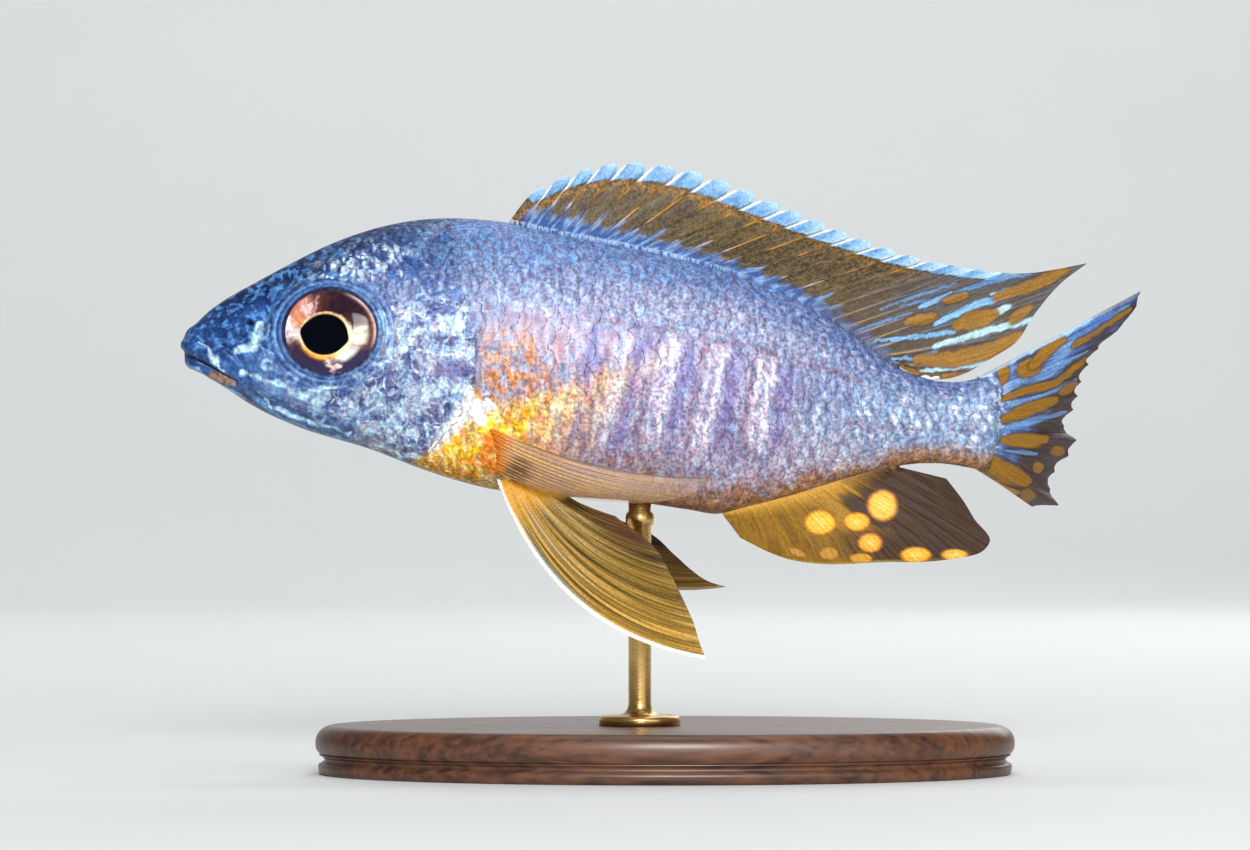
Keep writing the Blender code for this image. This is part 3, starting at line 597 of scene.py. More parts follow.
@dataclass(frozen=True)
class WoodFinish:
    """Dark oiled wood with its grain along the plinth."""

    name: str
    dark: int = 0x341E14
    light: int = 0x684028

    def material(self) -> Material:
        """Builds the material: stretched noise rings for grain, fine pores, and a satin oil coat."""
        made = Finish(self.name)
        made.set(Specular_IOR_Level=0.4, Coat_Weight=0.25, Coat_Roughness=0.22)
        long = made.stretched((0.07, 1, 0.6), (0, 0.05, 0.06))
        grain, fine = made.noise(4.2, 5, long, 1.4), made.noise(0.5, 4, long)
        both = made.node("Math", {0: grain, 1: fine}, operation="ADD").outputs[0]
        colour = made.mix(made.ramp(both, 0.78, 1.2), (*srgb(self.dark), 1), (*srgb(self.light), 1))
        return made.dress(colour, fine, (0.34, 0.5), made.bump(both, 0.06, 0.5))


@dataclass(frozen=True)
class BrassFinish:
    """Brushed brass, turned on a lathe."""

    name: str
    colour: int = 0xCEA868

    def material(self) -> Material:
        """Builds the material: metal with fine level rings and a little tarnish."""
        made = Finish(self.name)
        made.set(Metallic=1)
        lathe, tarnish = made.noise(1.1, 3, made.stretched((0.3, 0.3, 9))), made.noise(3, 3)
        clean, dull = (*srgb(self.colour), 1), (*(srgb(self.colour) * 0.62), 1)
        colour = made.mix(made.ramp(tarnish, 0.45, 0.75, 0, 0.6), clean, dull)
        return made.dress(colour, lathe, (0.2, 0.38), made.bump(lathe, 0.02, 0.4))


@dataclass(frozen=True)
class FloorFinish:
    """A plain pale studio floor."""

    name: str
    colour: int = 0xD8DADA

    def material(self) -> Material:
        """Builds the material: matt, with the faintest mottling."""
        made = Finish(self.name)
        made.set(Specular_IOR_Level=0.2, Roughness=0.75)
        cloud = made.noise(60, 2)
        pale, dim = (*srgb(self.colour), 1), (*(srgb(self.colour) * 0.97), 1)
        made.link(made.mix(cloud, pale, dim), "Base Color")
        return made.made


@dataclass
class Piece:
    """A mesh in the making: its points in mm as (s, y, h), its faces, and what it carries."""

    name: str
    points: Array
    faces: list
    tints: Array | None = None
    extras: dict = field(default_factory=dict)
    maps: dict = field(default_factory=dict)
    flat_arrays: int = 0

    def outward(self) -> None:
        """Turns every face round if the closed mesh has a negative volume."""
        volume = 0
        for quads in self.faces:
            a = self.points[quads[:, 0]]
            for k in range(1, quads.shape[1] - 1):
                b, c = self.points[quads[:, k]], self.points[quads[:, k + 1]]
                volume += np.einsum("ij,ij->i", a, np.cross(b, c)).sum()
        if volume < 0:
            self.faces = [quads[:, ::-1] for quads in self.faces]

    def build(self, material: Material, slot: Slot, replaces: tuple = ()) -> Thing:
        """Makes the object, in metres, hangs it under the root empty, and hides the CAD nodes it stands for.

        Args:
            material: its finish.
            slot: the record's slot for that finish; not used.
            replaces: CAD nodes that it stands for.

        Returns:
            The object.
        """
        self.outward()
        mesh = bpy.data.meshes.new(self.name)
        place = (self.points - (TOTAL_LENGTH / 2, 0, -BODY_LINE_HEIGHT)) * MM
        corners = np.concatenate([q.ravel() for q in self.faces])
        totals = np.concatenate([np.full(len(q), q.shape[1]) for q in self.faces])
        starts = np.concatenate([[0], np.cumsum(totals)[:-1]])
        mesh.vertices.add(len(place))
        mesh.vertices.foreach_set("co", place.ravel())
        mesh.loops.add(len(corners))
        mesh.loops.foreach_set("vertex_index", corners.astype(np.int32))
        mesh.polygons.add(len(totals))
        mesh.polygons.foreach_set("loop_start", starts.astype(np.int32))
        mesh.polygons.foreach_set("loop_total", totals.astype(np.int32))
        mesh.update(calc_edges=True)
        if self.tints is not None:
            shown = np.ones((len(place), 4))
            shown[:, :3] = np.clip(self.tints, 0, 1)
            mesh.attributes.new("tint", "FLOAT_COLOR", "POINT").data.foreach_set("color", shown.ravel())
        for name, values in self.extras.items():
            mesh.attributes.new(name, "FLOAT", "POINT").data.foreach_set("value", values.ravel())
        for name, values in self.maps.items():
            layer = mesh.uv_layers.new(name=name)
            layer.uv.foreach_set("vector", values[corners].ravel())
        mesh.materials.append(material)
        smooth = np.ones(len(totals), bool)
        if self.flat_arrays:
            smooth[-sum(len(quads) for quads in self.faces[-self.flat_arrays:]):] = False
        mesh.polygons.foreach_set("use_smooth", smooth)
        made = bpy.data.objects.new(self.name, mesh)
        bpy.context.scene.collection.objects.link(made)
        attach(made, "root")
        if replaces:
            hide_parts(*replaces)
        triangles = int((totals - 2).sum())
        LOG.info("%s: %d points, %d triangles", self.name, len(place), triangles)
        return made


def quads_of(numbers: Array) -> Array:
    """Quads between neighbours in a grid of point numbers."""
    corners = [numbers[:-1, :-1], numbers[:-1, 1:], numbers[1:, 1:], numbers[1:, :-1]]
    return np.stack(corners, axis=-1).reshape(-1, 4)


def sheet_faces(rows: int, columns: int, start: int = 0, closed: bool = False) -> Array:
    """Quads of a grid of points kept row by row.

    Args:
        rows: rows of points.
        columns: points in a row.
        start: the first point's number.
        closed: whether the last column joins the first.

    Returns:
        An array of quads.
    """
    numbers = start + np.arange(rows * columns).reshape(rows, columns)
    return quads_of(np.pad(numbers, ((0, 0), (0, int(closed))), mode="wrap"))


def capped_faces(rows: int, columns: int) -> list:
    """Faces of a closed round body: rings of points row by row, then its first and its last pole.

    Args:
        rows: rings of points.
        columns: points in a ring.

    Returns:
        The quads between the rings, and the triangles round each pole.
    """
    ring = np.arange(columns)
    ahead, last, pole = np.roll(ring, -1), (rows - 1) * columns, rows * columns
    return [
        sheet_faces(rows, columns, closed=True),
        np.stack([ahead, ring, np.full(columns, pole)], axis=1),
        np.stack([last + ring, last + ahead, np.full(columns, pole + 1)], axis=1),
    ]


@dataclass(frozen=True)
class Body:
    """The outline of head, trunk and tail stalk, the same as the solids'."""

    back: Curve = Curve((
        (0, 6.6), (0.9, 8.6), (2.5, 10.7), (4.6, 12.3), (9.2, 14.9), (14.1, 17.5), (19.1, 19.8),
        (24, 21.4), (28.9, 22.3), (33.8, 22.5), (39.5, 22), (46.1, 20.6), (60.9, 17.6),
        (68.3, 15.5), (75.6, 12.4), (81.8, 8.6), (88, 4.1), (92.9, 2.5), (96.6, 2.6), (99, 3.3),
    ), 0.5)
    belly: Curve = Curve((
        (0, 6.3), (0.6, 4.7), (1.9, 3.3), (4.9, 1.3), (9.2, -1.4), (14.1, -3.6), (24, -6.7),
        (28.9, -8.6), (38.7, -11.3), (46.1, -12), (54.7, -12.6), (62.1, -13.7), (65.6, -14.2),
        (68.9, -13.4), (73.8, -12.2), (81.2, -10), (86.7, -8.5), (92.9, -8), (99, -9),
    ), 0.5)
    half_width: Curve = Curve((
        (0, 0.1), (0.4, 1.5), (1.5, 2.6), (4, 3.7), (9, 4.9), (14, 5.8), (19, 6.4),
        (26, 7.1), (38, 7.9), (46, 7.9), (56, 7.2), (68, 6), (80, 4.2), (90, 2.7),
        (99, 1.3),
    ), 0.5)
    widest_level: float = 0.46
    back_narrowing: float = 1.16
    belly_fullness: float = 0.92
    bend_start: float = 52.0
    tail_bend: float = 2.2
    stalk_bow: float = 1.1
    gill_swell_full: float = 0.8
    gill_points: tuple = (
        (-10.5, 25.5), (-7.9, 27.6), (-6.4, 30), (-4.4, 32), (-1.8, 33.8), (1, 35.2),
        (3.6, 36), (6.4, 36.1), (9.5, 35.6), (13, 34.7), (18, 33.9), (25, 33.4),
    )  # the rear edge of the gill cover as (h, s)
    eye: tuple = (18.2, 8.3)
    eye_radii: tuple = (6.1, 5.3)
    rim_proud: float = 0.5
    rim_place: float = 1.1
    rim_width: float = 0.16

    def bend(self, s: Array) -> Array:
        """How far the middle plane lies to the right at s: a square law, then straight on."""
        f = np.maximum(s - self.bend_start, 0) / (BODY_LENGTH - self.bend_start)
        return self.tail_bend * np.where(f < 1, f * f, 2 * f - 1)

    def section(self, s: Array) -> tuple[Array, Array, Array, Array]:
        """The top, the widest level, the bottom and the half width at s."""
        top, bottom = self.back(s), self.belly(s)
        return top, bottom + self.widest_level * (top - bottom), bottom, self.half_width(s)

    def gill_edge(self, h: Array) -> Array:
        """The s of the gill cover's rear edge, carried on to the nape and the throat."""
        low, high = self.gill_points[0][0], self.gill_points[-1][0]
        moved = tuple((height - low, place) for height, place in self.gill_points)
        return Curve(moved)(np.clip(h, low + 0.1, high) - low)

    def gill_step(self, h: Array) -> Array:
        """How fully the skin steps down behind the gill cover at h: not on the nape or the throat."""
        return ease(h, -8.5, -6) * fall(h, 6, 9.5)

    def gill_swell(self, s: Array, h: Array) -> Array:
        """How much further out the gill cover stands than the flank would."""
        along = ease(s, 23, 33)
        return self.gill_swell_full * along * ease(h, -9, -5) * fall(h, 5, 10)

    def eye_reach(self, s: Array, h: Array) -> Array:
        """The distance from the middle of the eye, as 1 on the eyeball's outline."""
        return np.hypot((s - self.eye[0]) / self.eye_radii[0], (h - self.eye[1]) / self.eye_radii[1])

    def around(self, s: Array, angle: Array, swollen: bool = False) -> Array:
        """Places on the body's surface.

        Above the widest level the section is half the width times the cosine to the power
        back_narrowing, and below it to the power belly_fullness, at the height of the sine.

        Args:
            s: how far back.
            angle: 0 on the right side, a quarter turn on the back, half a turn on the left side.
            swollen: whether the gill cover and the rim of the eye stand proud.

        Returns:
            Places as (s, y, h).
        """
        top, level, bottom, half = self.section(s)
        up, across = np.sin(angle), np.cos(angle)
        h = level + np.where(up > 0, top - level, level - bottom) * up
        power = np.where(up > 0, self.back_narrowing, self.belly_fullness)
        out = half * np.abs(across) ** power
        if swollen:
            rim = self.rim_proud * hump(self.eye_reach(s, h), self.rim_place, self.rim_width)
            out = out + (self.gill_swell(s, h) + rim) * np.minimum(1, 3 * np.abs(across))
        bow = self.stalk_bow * (1 - up * up) * ease(s, BODY_LENGTH - 8, BODY_LENGTH)
        return np.stack([s + bow, self.bend(s) + np.sign(across) * out, h], axis=-1)

    def normals(self, s: Array, angle: Array) -> Array:
        """Unit directions out of the surface: the cross product of its two slopes."""
        step = 1e-3
        back = self.around(s + step, angle) - self.around(np.maximum(s - step, 1e-4), angle)
        round_ = self.around(s, angle + step) - self.around(s, angle - step)
        normal = np.cross(round_, back)
        return normal / np.maximum(np.linalg.norm(normal, axis=-1, keepdims=True), 1e-12)

    def angle_at(self, s: Array, h: Array, side: Side) -> Array:
        """The angle round the body at which the surface passes (s, h) on a side."""
        top, level, bottom, _ = self.section(s)
        reach = np.where(h > level, top - level, level - bottom)
        up = np.arcsin(np.clip((h - level) / np.maximum(reach, 1e-6), -1, 1))
        return up if side is Side.RIGHT else math.pi - up

    def flank(self, s: Array, h: Array) -> Array:
        """The distance of the plain surface from the middle plane at (s, h)."""
        place = self.around(s, self.angle_at(s, h, Side.RIGHT))
        return place[..., 1] - self.bend(s)


@dataclass(frozen=True)
class Markings:
    """The colours of skin and scales, as functions of the place in side view.

    Each method takes s and h, arrays of places along and up the fish, and returns one value or
    one linear colour for each place.
    """

    body: Body = Body()
    lateral: Curve = Curve((
        (36, 11.6), (41.3, 10.2), (52, 9.6), (63.4, 7.9), (72, 5.6), (79.4, 3.6), (86, 1.2),
    ))
    head_marks: tuple = (
        # painted highlight: the pale streak along the upper lip
        Stroke(((1.8, 7.2), (2.9, 6.1), (4.3, 4.6), (5.1, 3.4)), 0.55, 0xBAD8EE, 1, 0.7, 0.6),
        Stroke(((0.8, 4.6), (2.6, 2.9), (4.9, 1.2), (7.2, 0.2)), 0.5, 0x8EBADE, 0.7, 0.5, 0.3),
        Stroke(((9.6, 9.4), (9.3, 7.9), (8.6, 6.5), (6.3, 5.7)), 1, 0xBADCEE, 1, 0.7, 0.5),
        Stroke(((8.9, 7.2), (10.4, 8), (11, 9)), 0.3, 0xA0C8E8, 0.7, 0.5, 0.6),
        Stroke(((9.1, 7), (10.4, 6.2), (11.2, 4.9)), 0.35, 0x96BEE2, 0.7, 0.5, 0.6),
        Stroke(((7.4, 3.2), (10.2, 2.3), (12.7, 1.5), (13.9, 0.7), (15.2, 0.5), (16.3, 1), (18.7, 1.5)),
               0.8, 0xBEDCEE, 0.95, 0.7, 0.3),
        Stroke(((12.2, 0.7), (14, -0.4), (16.6, -1)), 0.8, 0x685A64, 0.6, 0.5, 0.5),
        # the pale line along the lower jaw: partly its own pale blue, partly a painted highlight
        Stroke(((9.3, 0.5), (10.6, -0.7), (13.2, -2.1), (16.7, -3.2), (20.6, -4.4)), 0.45,
               0xA8C8E6, 0.85, 0.6, 0.3),
        Stroke(((8.4, 0), (12.9, -2.9), (17.8, -4.6), (22, -5.9)), 0.5, 0x6892C2, 0.8, 0.6, 0.2),
        Stroke(((3.5, 3.2), (4.8, 2.4), (6.4, 2)), 0.75, 0xA07024, 0.8, 0.5, 0.4),
        Stroke(((25.8, 11.3), (27.4, 10.5), (28.9, 9.3)), 0.7, 0xDCECFA, 0.9, 0.5, 0.5),
        Stroke(((29.4, 4.6), (31.9, 5.7), (35, 5.2), (35.6, 4)), 0.6, 0xD6E8F8, 0.8, 0.5, 0.4),
        Stroke(((26.5, 1.3), (26.2, -1.2), (26.9, -3.7), (26.2, -6)), 0.5, 0xC8DEEE, 0.85, 0.5, 0.4),
        Stroke(((21.2, 1.6), (21.5, -1.2), (21.7, -3.2), (23.3, -4.5)), 0.42, 0xB0D6E6, 0.8, 0.5, 0.4),
        Stroke(((23.9, 6.6), (24.6, 8.6), (24.5, 10.8)), 0.45, 0xAACEE8, 0.7, 0.5, 0.4),
        Stroke(((28.2, 6.4), (30.2, 6.9), (32.4, 6.5)), 0.42, 0xCEDEF0, 0.7, 0.6, 0.4),
        Stroke(((33.9, -0.6), (32.6, -3), (31, -4.8)), 0.7, 0xBACAE4, 0.75, 0.5, 0.4),
        Stroke(((20.4, 3.4), (22, 2.7), (23.6, 3.3)), 0.4, 0xBAD6EA, 0.7, 0.6, 0.4),
        Spot((24.1, -0.6), (1, 1.25), 0xBAD4D6, 0.7, None, 0, 0.6),
        Spot((30.4, 4.2), (1.35, 1), 0xDEE0EE, 0.75, None, -15, 0.5),
        Spot((28.2, 1.1), (1.1, 0.7), 0xD0E4E8, 0.75, None, 20, 0.5),
        Spot((31, 0.6), (1.1, 0.8), 0xC4D0E8, 0.6, None, 40, 0.6),
        Spot((25.6, 3.1), (1.1, 0.8), 0x565A88, 0.75, None, 0, 0.6),
        Spot((29.2, 2.6), (0.8, 1), 0x5C588C, 0.7, None, 0, 0.6),
        Spot((28.8, -2.4), (1.3, 0.9), 0x546092, 0.7, None, 20, 0.6),
        Spot((24.6, 5.9), (0.4, 0.75), 0x92544A, 0.8, None, -10, 0.6),
        Spot((27.9, 12.6), (0.9, 1.2), 0x4A6096, 0.6, None, 0, 0.6),
        Stroke(((22.4, 5.2), (24.2, 4.2), (25.8, 4.6)), 0.5, 0xCEE2F6, 0.7, 0.5, 0.5),
        Spot((32.8, 3.7), (1.75, 1.25), 0x70649C, 0.8, None, 10, 0.45),
        Spot((27.8, -0.4), (1.5, 1.2), 0xC4D6F0, 0.55, None, 30, 0.6),
        Spot((30.2, 8), (1.6, 1), 0xCCD6F0, 0.5, None, -20, 0.6),
    )
    gill_marks: tuple = (
        Stroke(((35.3, 1.6), (34.9, -0.5), (33.6, -2.8), (31.9, -4.7), (30.4, -6.2)), 1.5,
               0xFAFBFC, 1, 0.35, 0.6),
        Stroke(((34.9, -0.8), (36.6, -0.85), (38.2, -0.6)), 1.6, 0xFFFFFE, 1, 0.3, 0.45),
        Stroke(((35.4, -1.5), (36.4, -2.2), (36.9, -2.8)), 1.7, 0xFFFFFE, 1, 0.3, 0.45),
    )
    bar_feet: tuple = ((48.6, 45), (54.6, 50.9), (60.3, 57.3), (66.4, 63.2), (72.3, 70.2))
    bar_levels: tuple = (8.6, -6)
    lateral_marks: tuple = (
        Stroke(((37.5, 11.3), (41.3, 10.2), (52, 9.6), (63.4, 7.9), (72, 5.6), (79.4, 3.6), (84, 1.6)),
               0.36, 0x765A6C, 0.7, 0.5, 0),
        Stroke(((80.5, -2.6), (88, -3.6), (98, -3.6)), 0.32, 0x7A687A, 0.65, 0.5, 0),
    )
    pores: tuple = (
        (23.2, -2.6, 1.25), (26.7, -2.4, 1), (20.2, -1.6, 0.8), (13.4, 2.6, 0.7), (10.4, 4.2, 0.6),
        (16.8, -2, 0.75), (27.3, 2.2, 0.8),
    )
    grain: Grain = Grain(5)

    def behind(self, s: Array, h: Array) -> Array:
        """How far behind the gill cover's rear edge a place is."""
        return s - self.body.gill_edge(h)

    def over_belly(self, s: Array, h: Array) -> Array:
        """How far over the belly's outline a place is."""
        return h - self.body.belly(np.clip(s, 0.1, BODY_LENGTH))

    def chest(self, s: Array, h: Array) -> Array:
        """How far a place belongs to the golden chest below and behind the gill cover."""
        broad = self.grain(s * 0.5, h * 0.5 + 40, 3)
        low = ease(-h + 0.34 * (s - 30) + 1.8 * (broad - 0.5), 3, 5)
        return low * ease(self.behind(s, h), -0.4, 0.3) * fall(s - 0.9 * h, 44, 58)

    def golden(self, s: Array, h: Array) -> Array:
        """How strongly orange shows between the scales: behind the gill cover and along the belly."""
        near = fall(self.behind(s, h), 5, 17) * fall(h, 7, 12) * ease(self.behind(s, h), 0, 1)
        edge = fall(self.over_belly(s, h), 0.6, 3.4) * ease(s, 42, 50)
        return np.maximum(near, 0.7 * edge)

    def root_reach(self, s: Array, h: Array) -> Array:
        """The distance from the middle of the pectoral fin's fleshy root, 1 at its outline."""
        return np.hypot((s - 38) / 1.3, (h + 6.2) / 2.5)

    def brow(self, s: Array, h: Array) -> Array:
        """How far a place belongs to the dark brow over and before the eye; its darkness is partly painted
        shade.
        """
        return ease(h - 0.45 * s, 6.6, 9.4) * fall(s, 20, 31)

    def ground(self, s: Array, h: Array, side: Side) -> Array:
        """The colour under the flecks: broad zones blended one over the other.

        Args:
            s: places along the fish.
            h: places up the fish.
            side: which side they are on, as the two differ in their small patterns.

        Returns:
            Linear colours.
        """
        top, _, bottom, _ = self.body.section(np.clip(s, 0.05, BODY_LENGTH))
        rise = (h - bottom) / np.maximum(top - bottom, 0.1)
        shift = 80 * (side is Side.RIGHT)
        broad = self.grain(s * 0.22 + shift, h * 0.22, 3)
        small = self.grain(s * 1.1 + shift, h * 1.1, 2)
        above = h - self.lateral(s) + 1.6 * (small - 0.5)

        high = 0.22 - 0.11 * ease(s, 58, 68) + 0.15 * ease(s, 83, 92)
        warm = fall(rise + 0.2 * (small - 0.5), 0.05, high) * ease(s, 38, 46)
        speck = ease(small + 0.5 * (broad - 0.5), 0.5, 0.66)
        behind = self.behind(s, h)
        pale = fall(behind, 3, 10) * ease(behind, 0, 1) * fall(h, 6, 11)
        near = fall(behind, 5, 15) * fall(h, 5, 10) * ease(behind, -0.5, 1)
        head = fall(behind, -0.8, 0.4)
        # spark: painted glints, bright blue flecks on the snout
        spark = ease(self.grain(1.5 * s + 0.8 * h + shift, 2.2 * h - 1.2 * s, 3), 0.52, 0.68)
        face = painted(
            plain(s, 0x365E9A),
            (0x6472A8, ease(s + 0.4 * h + 3 * (broad - 0.5), 18, 31)),
            (0x224C8E, 0.85 * ease(h, 9, 15) * ease(s, 20, 28)),
            (0x1A3870, 0.9 * ease(h - 0.62 * s, -2.5, 3) * fall(s, 18, 30)),
            # the brow and the top of the head: partly their own dark blue, partly painted shade where the
            # light falls off
            (0x0E1E44, 0.88 * np.maximum(self.brow(s, h), ease(rise, 0.8, 1) * fall(s, 28, 42))),
            (0x22447A, 0.7 * fall(s, 0.5, 7)),
            (0x548ACC, 0.7 * spark * ease(h, 4, 7) * fall(s, 18, 26)),
            (0x344870, 0.85 * ease(0.3 * (12 - s) - h, -1, 1) * fall(s, 18, 28)),
            (0x967A42, 0.8 * fall(rise, 0.02, 0.13) * ease(s, 19, 26)),
        )
        fanned = self.grain(3.2 * (h + 0.35 * s), 0.8 * s, 2)
        flesh = painted(
            plain(s, 0xE88622),
            (0xCC581E, ease(fanned, 0.45, 0.6)),
            (0xF4B660, 0.8 * ease(fanned, 0.42, 0.3)),
        )
        gold = painted(
            plain(s, 0xFAC81E),
            (0xDE8016, ease(small, 0.46, 0.74)),
            (0xFFF2C4, 0.85 * ease(self.grain(s * 2.2, h * 1.3 + 9, 2), 0.52, 0.72)),
            (flesh, 0.95 * fall(self.root_reach(s + 0.6 * (small - 0.5), h), 0.9, 1.7)),
            (0x707C96, 0.8 * ease(fanned, 0.42, 0.5) * hump(np.hypot(s - 35, h + 4), 0, 1.1)),
        )
        return painted(
            plain(s, 0x727EA0),
            (0x7684A2, 0.9 * ease(s + 8 * (broad - 0.5) + 0.3 * h, 66, 80)),
            (0x9EA6BA, 0.8 * ease(s, 68, 78) * fall(rise, 0.25, 0.5)),
            (0xA698A2, 0.75 * fall(rise + 0.1 * (broad - 0.5), 0.1, 0.4)),
            (0x929AB6, 0.95 * ease(above, -1.8, 1.8) * fall(s, 74, 88)),
            (0x8698B0, 0.9 * ease(s + 4 * (broad - 0.5), 80, 90)),
            # darker blue along the top of the back: partly its own colour, partly painted shade where the
            # light falls off
            (0x5070A2, 0.9 * ease(rise + 0.1 * (broad - 0.5), 0.78, 0.98)),
            (0x586892, 0.7 * ease(s, 66, 84) * ease(rise, 0.66, 0.95)),
            (0x6C88B2, 0.6 * ease(h, 9, 16) * fall(s, 42, 56)),
            (0x8A6638, 0.92 * warm),
            (0x745430, 0.8 * warm * ease(s, 85, 91)),
            (0x9292A2, 0.6 * pale),
            (0xD88822, 0.95 * near * speck),
            (face, head),
            (over(gold, srgb(0x966C2C), 0.8 * fall(rise, 0, 0.12)), self.chest(s, h)),
        )

    def spangle(self, s: Array, h: Array) -> Array:
        """The pale colour at the middle of each scale, laid partly as a painted sheen."""
        rise = self.over_belly(s, h)
        low = fall(rise, 0.5, 2.4) * ease(s, 40, 50) + fall(rise, 1.4, 3.4) * ease(s, 85, 91)
        return painted(
            plain(s, 0xA8B2CE),
            (0xAEB8CE, ease(h - self.lateral(s), -1.8, 1.8)),
            (0xD6E4F0, ease(s, 70, 82) * fall(h, -2, 3)),
            (0x62A0E0, ease(h + 0.12 * s, 18, 23)),
            (0xC49660, 0.85 * low),
            (0xFFE268, self.chest(s, h)),
        )

    def hem(self, s: Array, h: Array) -> Array:
        """The darker colour along the edges of each scale."""
        return painted(
            plain(s, 0x8E6C94),
            (0x7C7AAC, ease(h - self.lateral(s), -1.8, 1.8)),
            (0x5E76B2, ease(s, 72, 84)),
            (0x183268, fall(s, 33, 44) * ease(h, 6, 12)),
            (0xD6881C, np.maximum(self.golden(s, h), self.chest(s, h))),
        )

    def barred(self, colour: Array, s: Array, h: Array) -> Array:
        """Lays the pale bars below the lateral line, each between two brighter lines."""
        high, low = self.bar_levels
        for number, (head, foot) in enumerate(self.bar_feet):
            full = (0.35, 0.6, 0.9, 1, 1)[number]
            lean = foot + (head - foot) * (h - low) / (high - low)
            away = s - lean + 0.5 * (self.grain(s * 0.8, h * 0.8, 2) - 0.5)
            within = ease(h, low - 1.5, low + 2) * fall(h - self.lateral(s), -1.6, -0.4)
            rough = 0.6 + 0.8 * self.grain(s * 1.4 + 7, h * 1.4, 2)
            colour = over(colour, srgb(0xA098B0), 0.45 * full * rough * within * fall(np.abs(away), 0.5, 1.7))
            lines = np.maximum(0.7 * hump(away, -0.9, 0.34), hump(away, 0.5, 0.5))
            colour = over(colour, srgb(0xE6E2EE), 0.74 * full * rough * within * lines)
            faint = hump(away, -2.7, 0.5) * ease(self.grain(s * 1.2, h * 0.5 + 3, 2), 0.4, 0.6)
            colour = over(colour, srgb(0xCECCE0), 0.45 * within * faint)
            colour = over(colour, srgb(0x70609E), 0.55 * rough * within * hump(away, 2.4, 1))
            colour = over(colour, srgb(0x926A78), 0.5 * rough * within * hump(away, -1.9, 0.6))
        return colour

    def drawn(self, colour: Array, s: Array, h: Array) -> Array:
        """Draws the streaks, among them a painted highlight on the upper lip and a jaw line that is partly
        one, the rings round the eye with painted shade at the socket's edge, painted glints on the nape, and
        the pores over a ground colour.
        """
        for place, height, radius in self.pores:
            ring = hump(np.hypot(s - place, h - height), radius, 0.2)
            colour = over(colour, srgb(0xB2CCEC), 0.55 * ring)
        reach = self.body.eye_reach(s, h)
        for place, strength in ((1.14, 0.4), (1.3, 0.2)):
            colour = over(colour, srgb(0x96BEE8), strength * hump(reach, place, 0.035))
        # painted glints: small bright dashes on the nape's scales
        glint = np.exp(-((s - 22) / 5.2) ** 2 - ((h - 0.3 * (s - 21.5) - 16.6) / 2) ** 2)
        glint = glint * ease(self.grain(s * 2.6 + 0.8 * h, 2.4 * h - 2.2 * s + 9, 1), 0.58, 0.7)
        colour = painted(
            colour,
            (0x203268, 0.6 * hump(reach, 1.21, 0.03)),
            # painted shade: a dark ring where the skin meets the eyeball and drops into the socket
            (0x222E62, 0.8 * hump(reach, 1, 0.07)),
            (0xCEE6FA, np.minimum(1.3 * glint, 0.95)),
        )
        rough = 0.6 + 0.4 * ease(self.grain(s * 3 + 17, h * 3, 2), 0.35, 0.55)
        laid = lay_all(colour, self.head_marks, *self.shaken(s, h))
        return lay_all(colour + (laid - colour) * rough[..., None], self.gill_marks, s, h)

    def shaken(self, s: Array, h: Array) -> tuple[Array, Array]:
        """The places moved about by up to half a millimetre, which makes the marks' edges uneven."""
        push = 0.9 * (self.grain(s * 1.1 + 5, h * 1.1, 3) - 0.5)
        lift = 0.9 * (self.grain(s * 1.1 + 90, h * 1.1, 3) - 0.5)
        return s + push, h + lift

    def pearl(self, s: Array, h: Array) -> Array:
        """How strongly the pearly mottling of the cheek shows: on the head, less on the snout."""
        head = fall(self.behind(s, h), -0.7, 0.3)
        cheek = 0.15 + 0.85 * ease(s + 0.5 * (8 - h), 12, 25)
        cheek = cheek * (1 - 0.88 * ease(h - 0.62 * s, -2.5, 2) * fall(s, 18, 28))
        cheek = cheek * (1 - 0.7 * ease(h, 9, 14)) * (1 - ease(h, 12.5, 16) * fall(s, 27, 35))
        white = np.max([mark.mask(s, h) for mark in self.gill_marks], axis=0)
        there = self.shaken(s, h)
        marked = np.max([mark.mask(*there) for mark in self.head_marks], axis=0)
        cheek = cheek * (1 - 0.85 * ease(0.3 * (12 - s) - h, -1.4, 1.4) * fall(s, 20, 28))
        spot = fall(np.hypot((s - 32.8) / 1.9, (h - 3.7) / 1.4), 0.6, 1.3)
        return head * cheek * (1 - white) * (1 - 0.75 * spot) * (1 - 0.65 * marked)


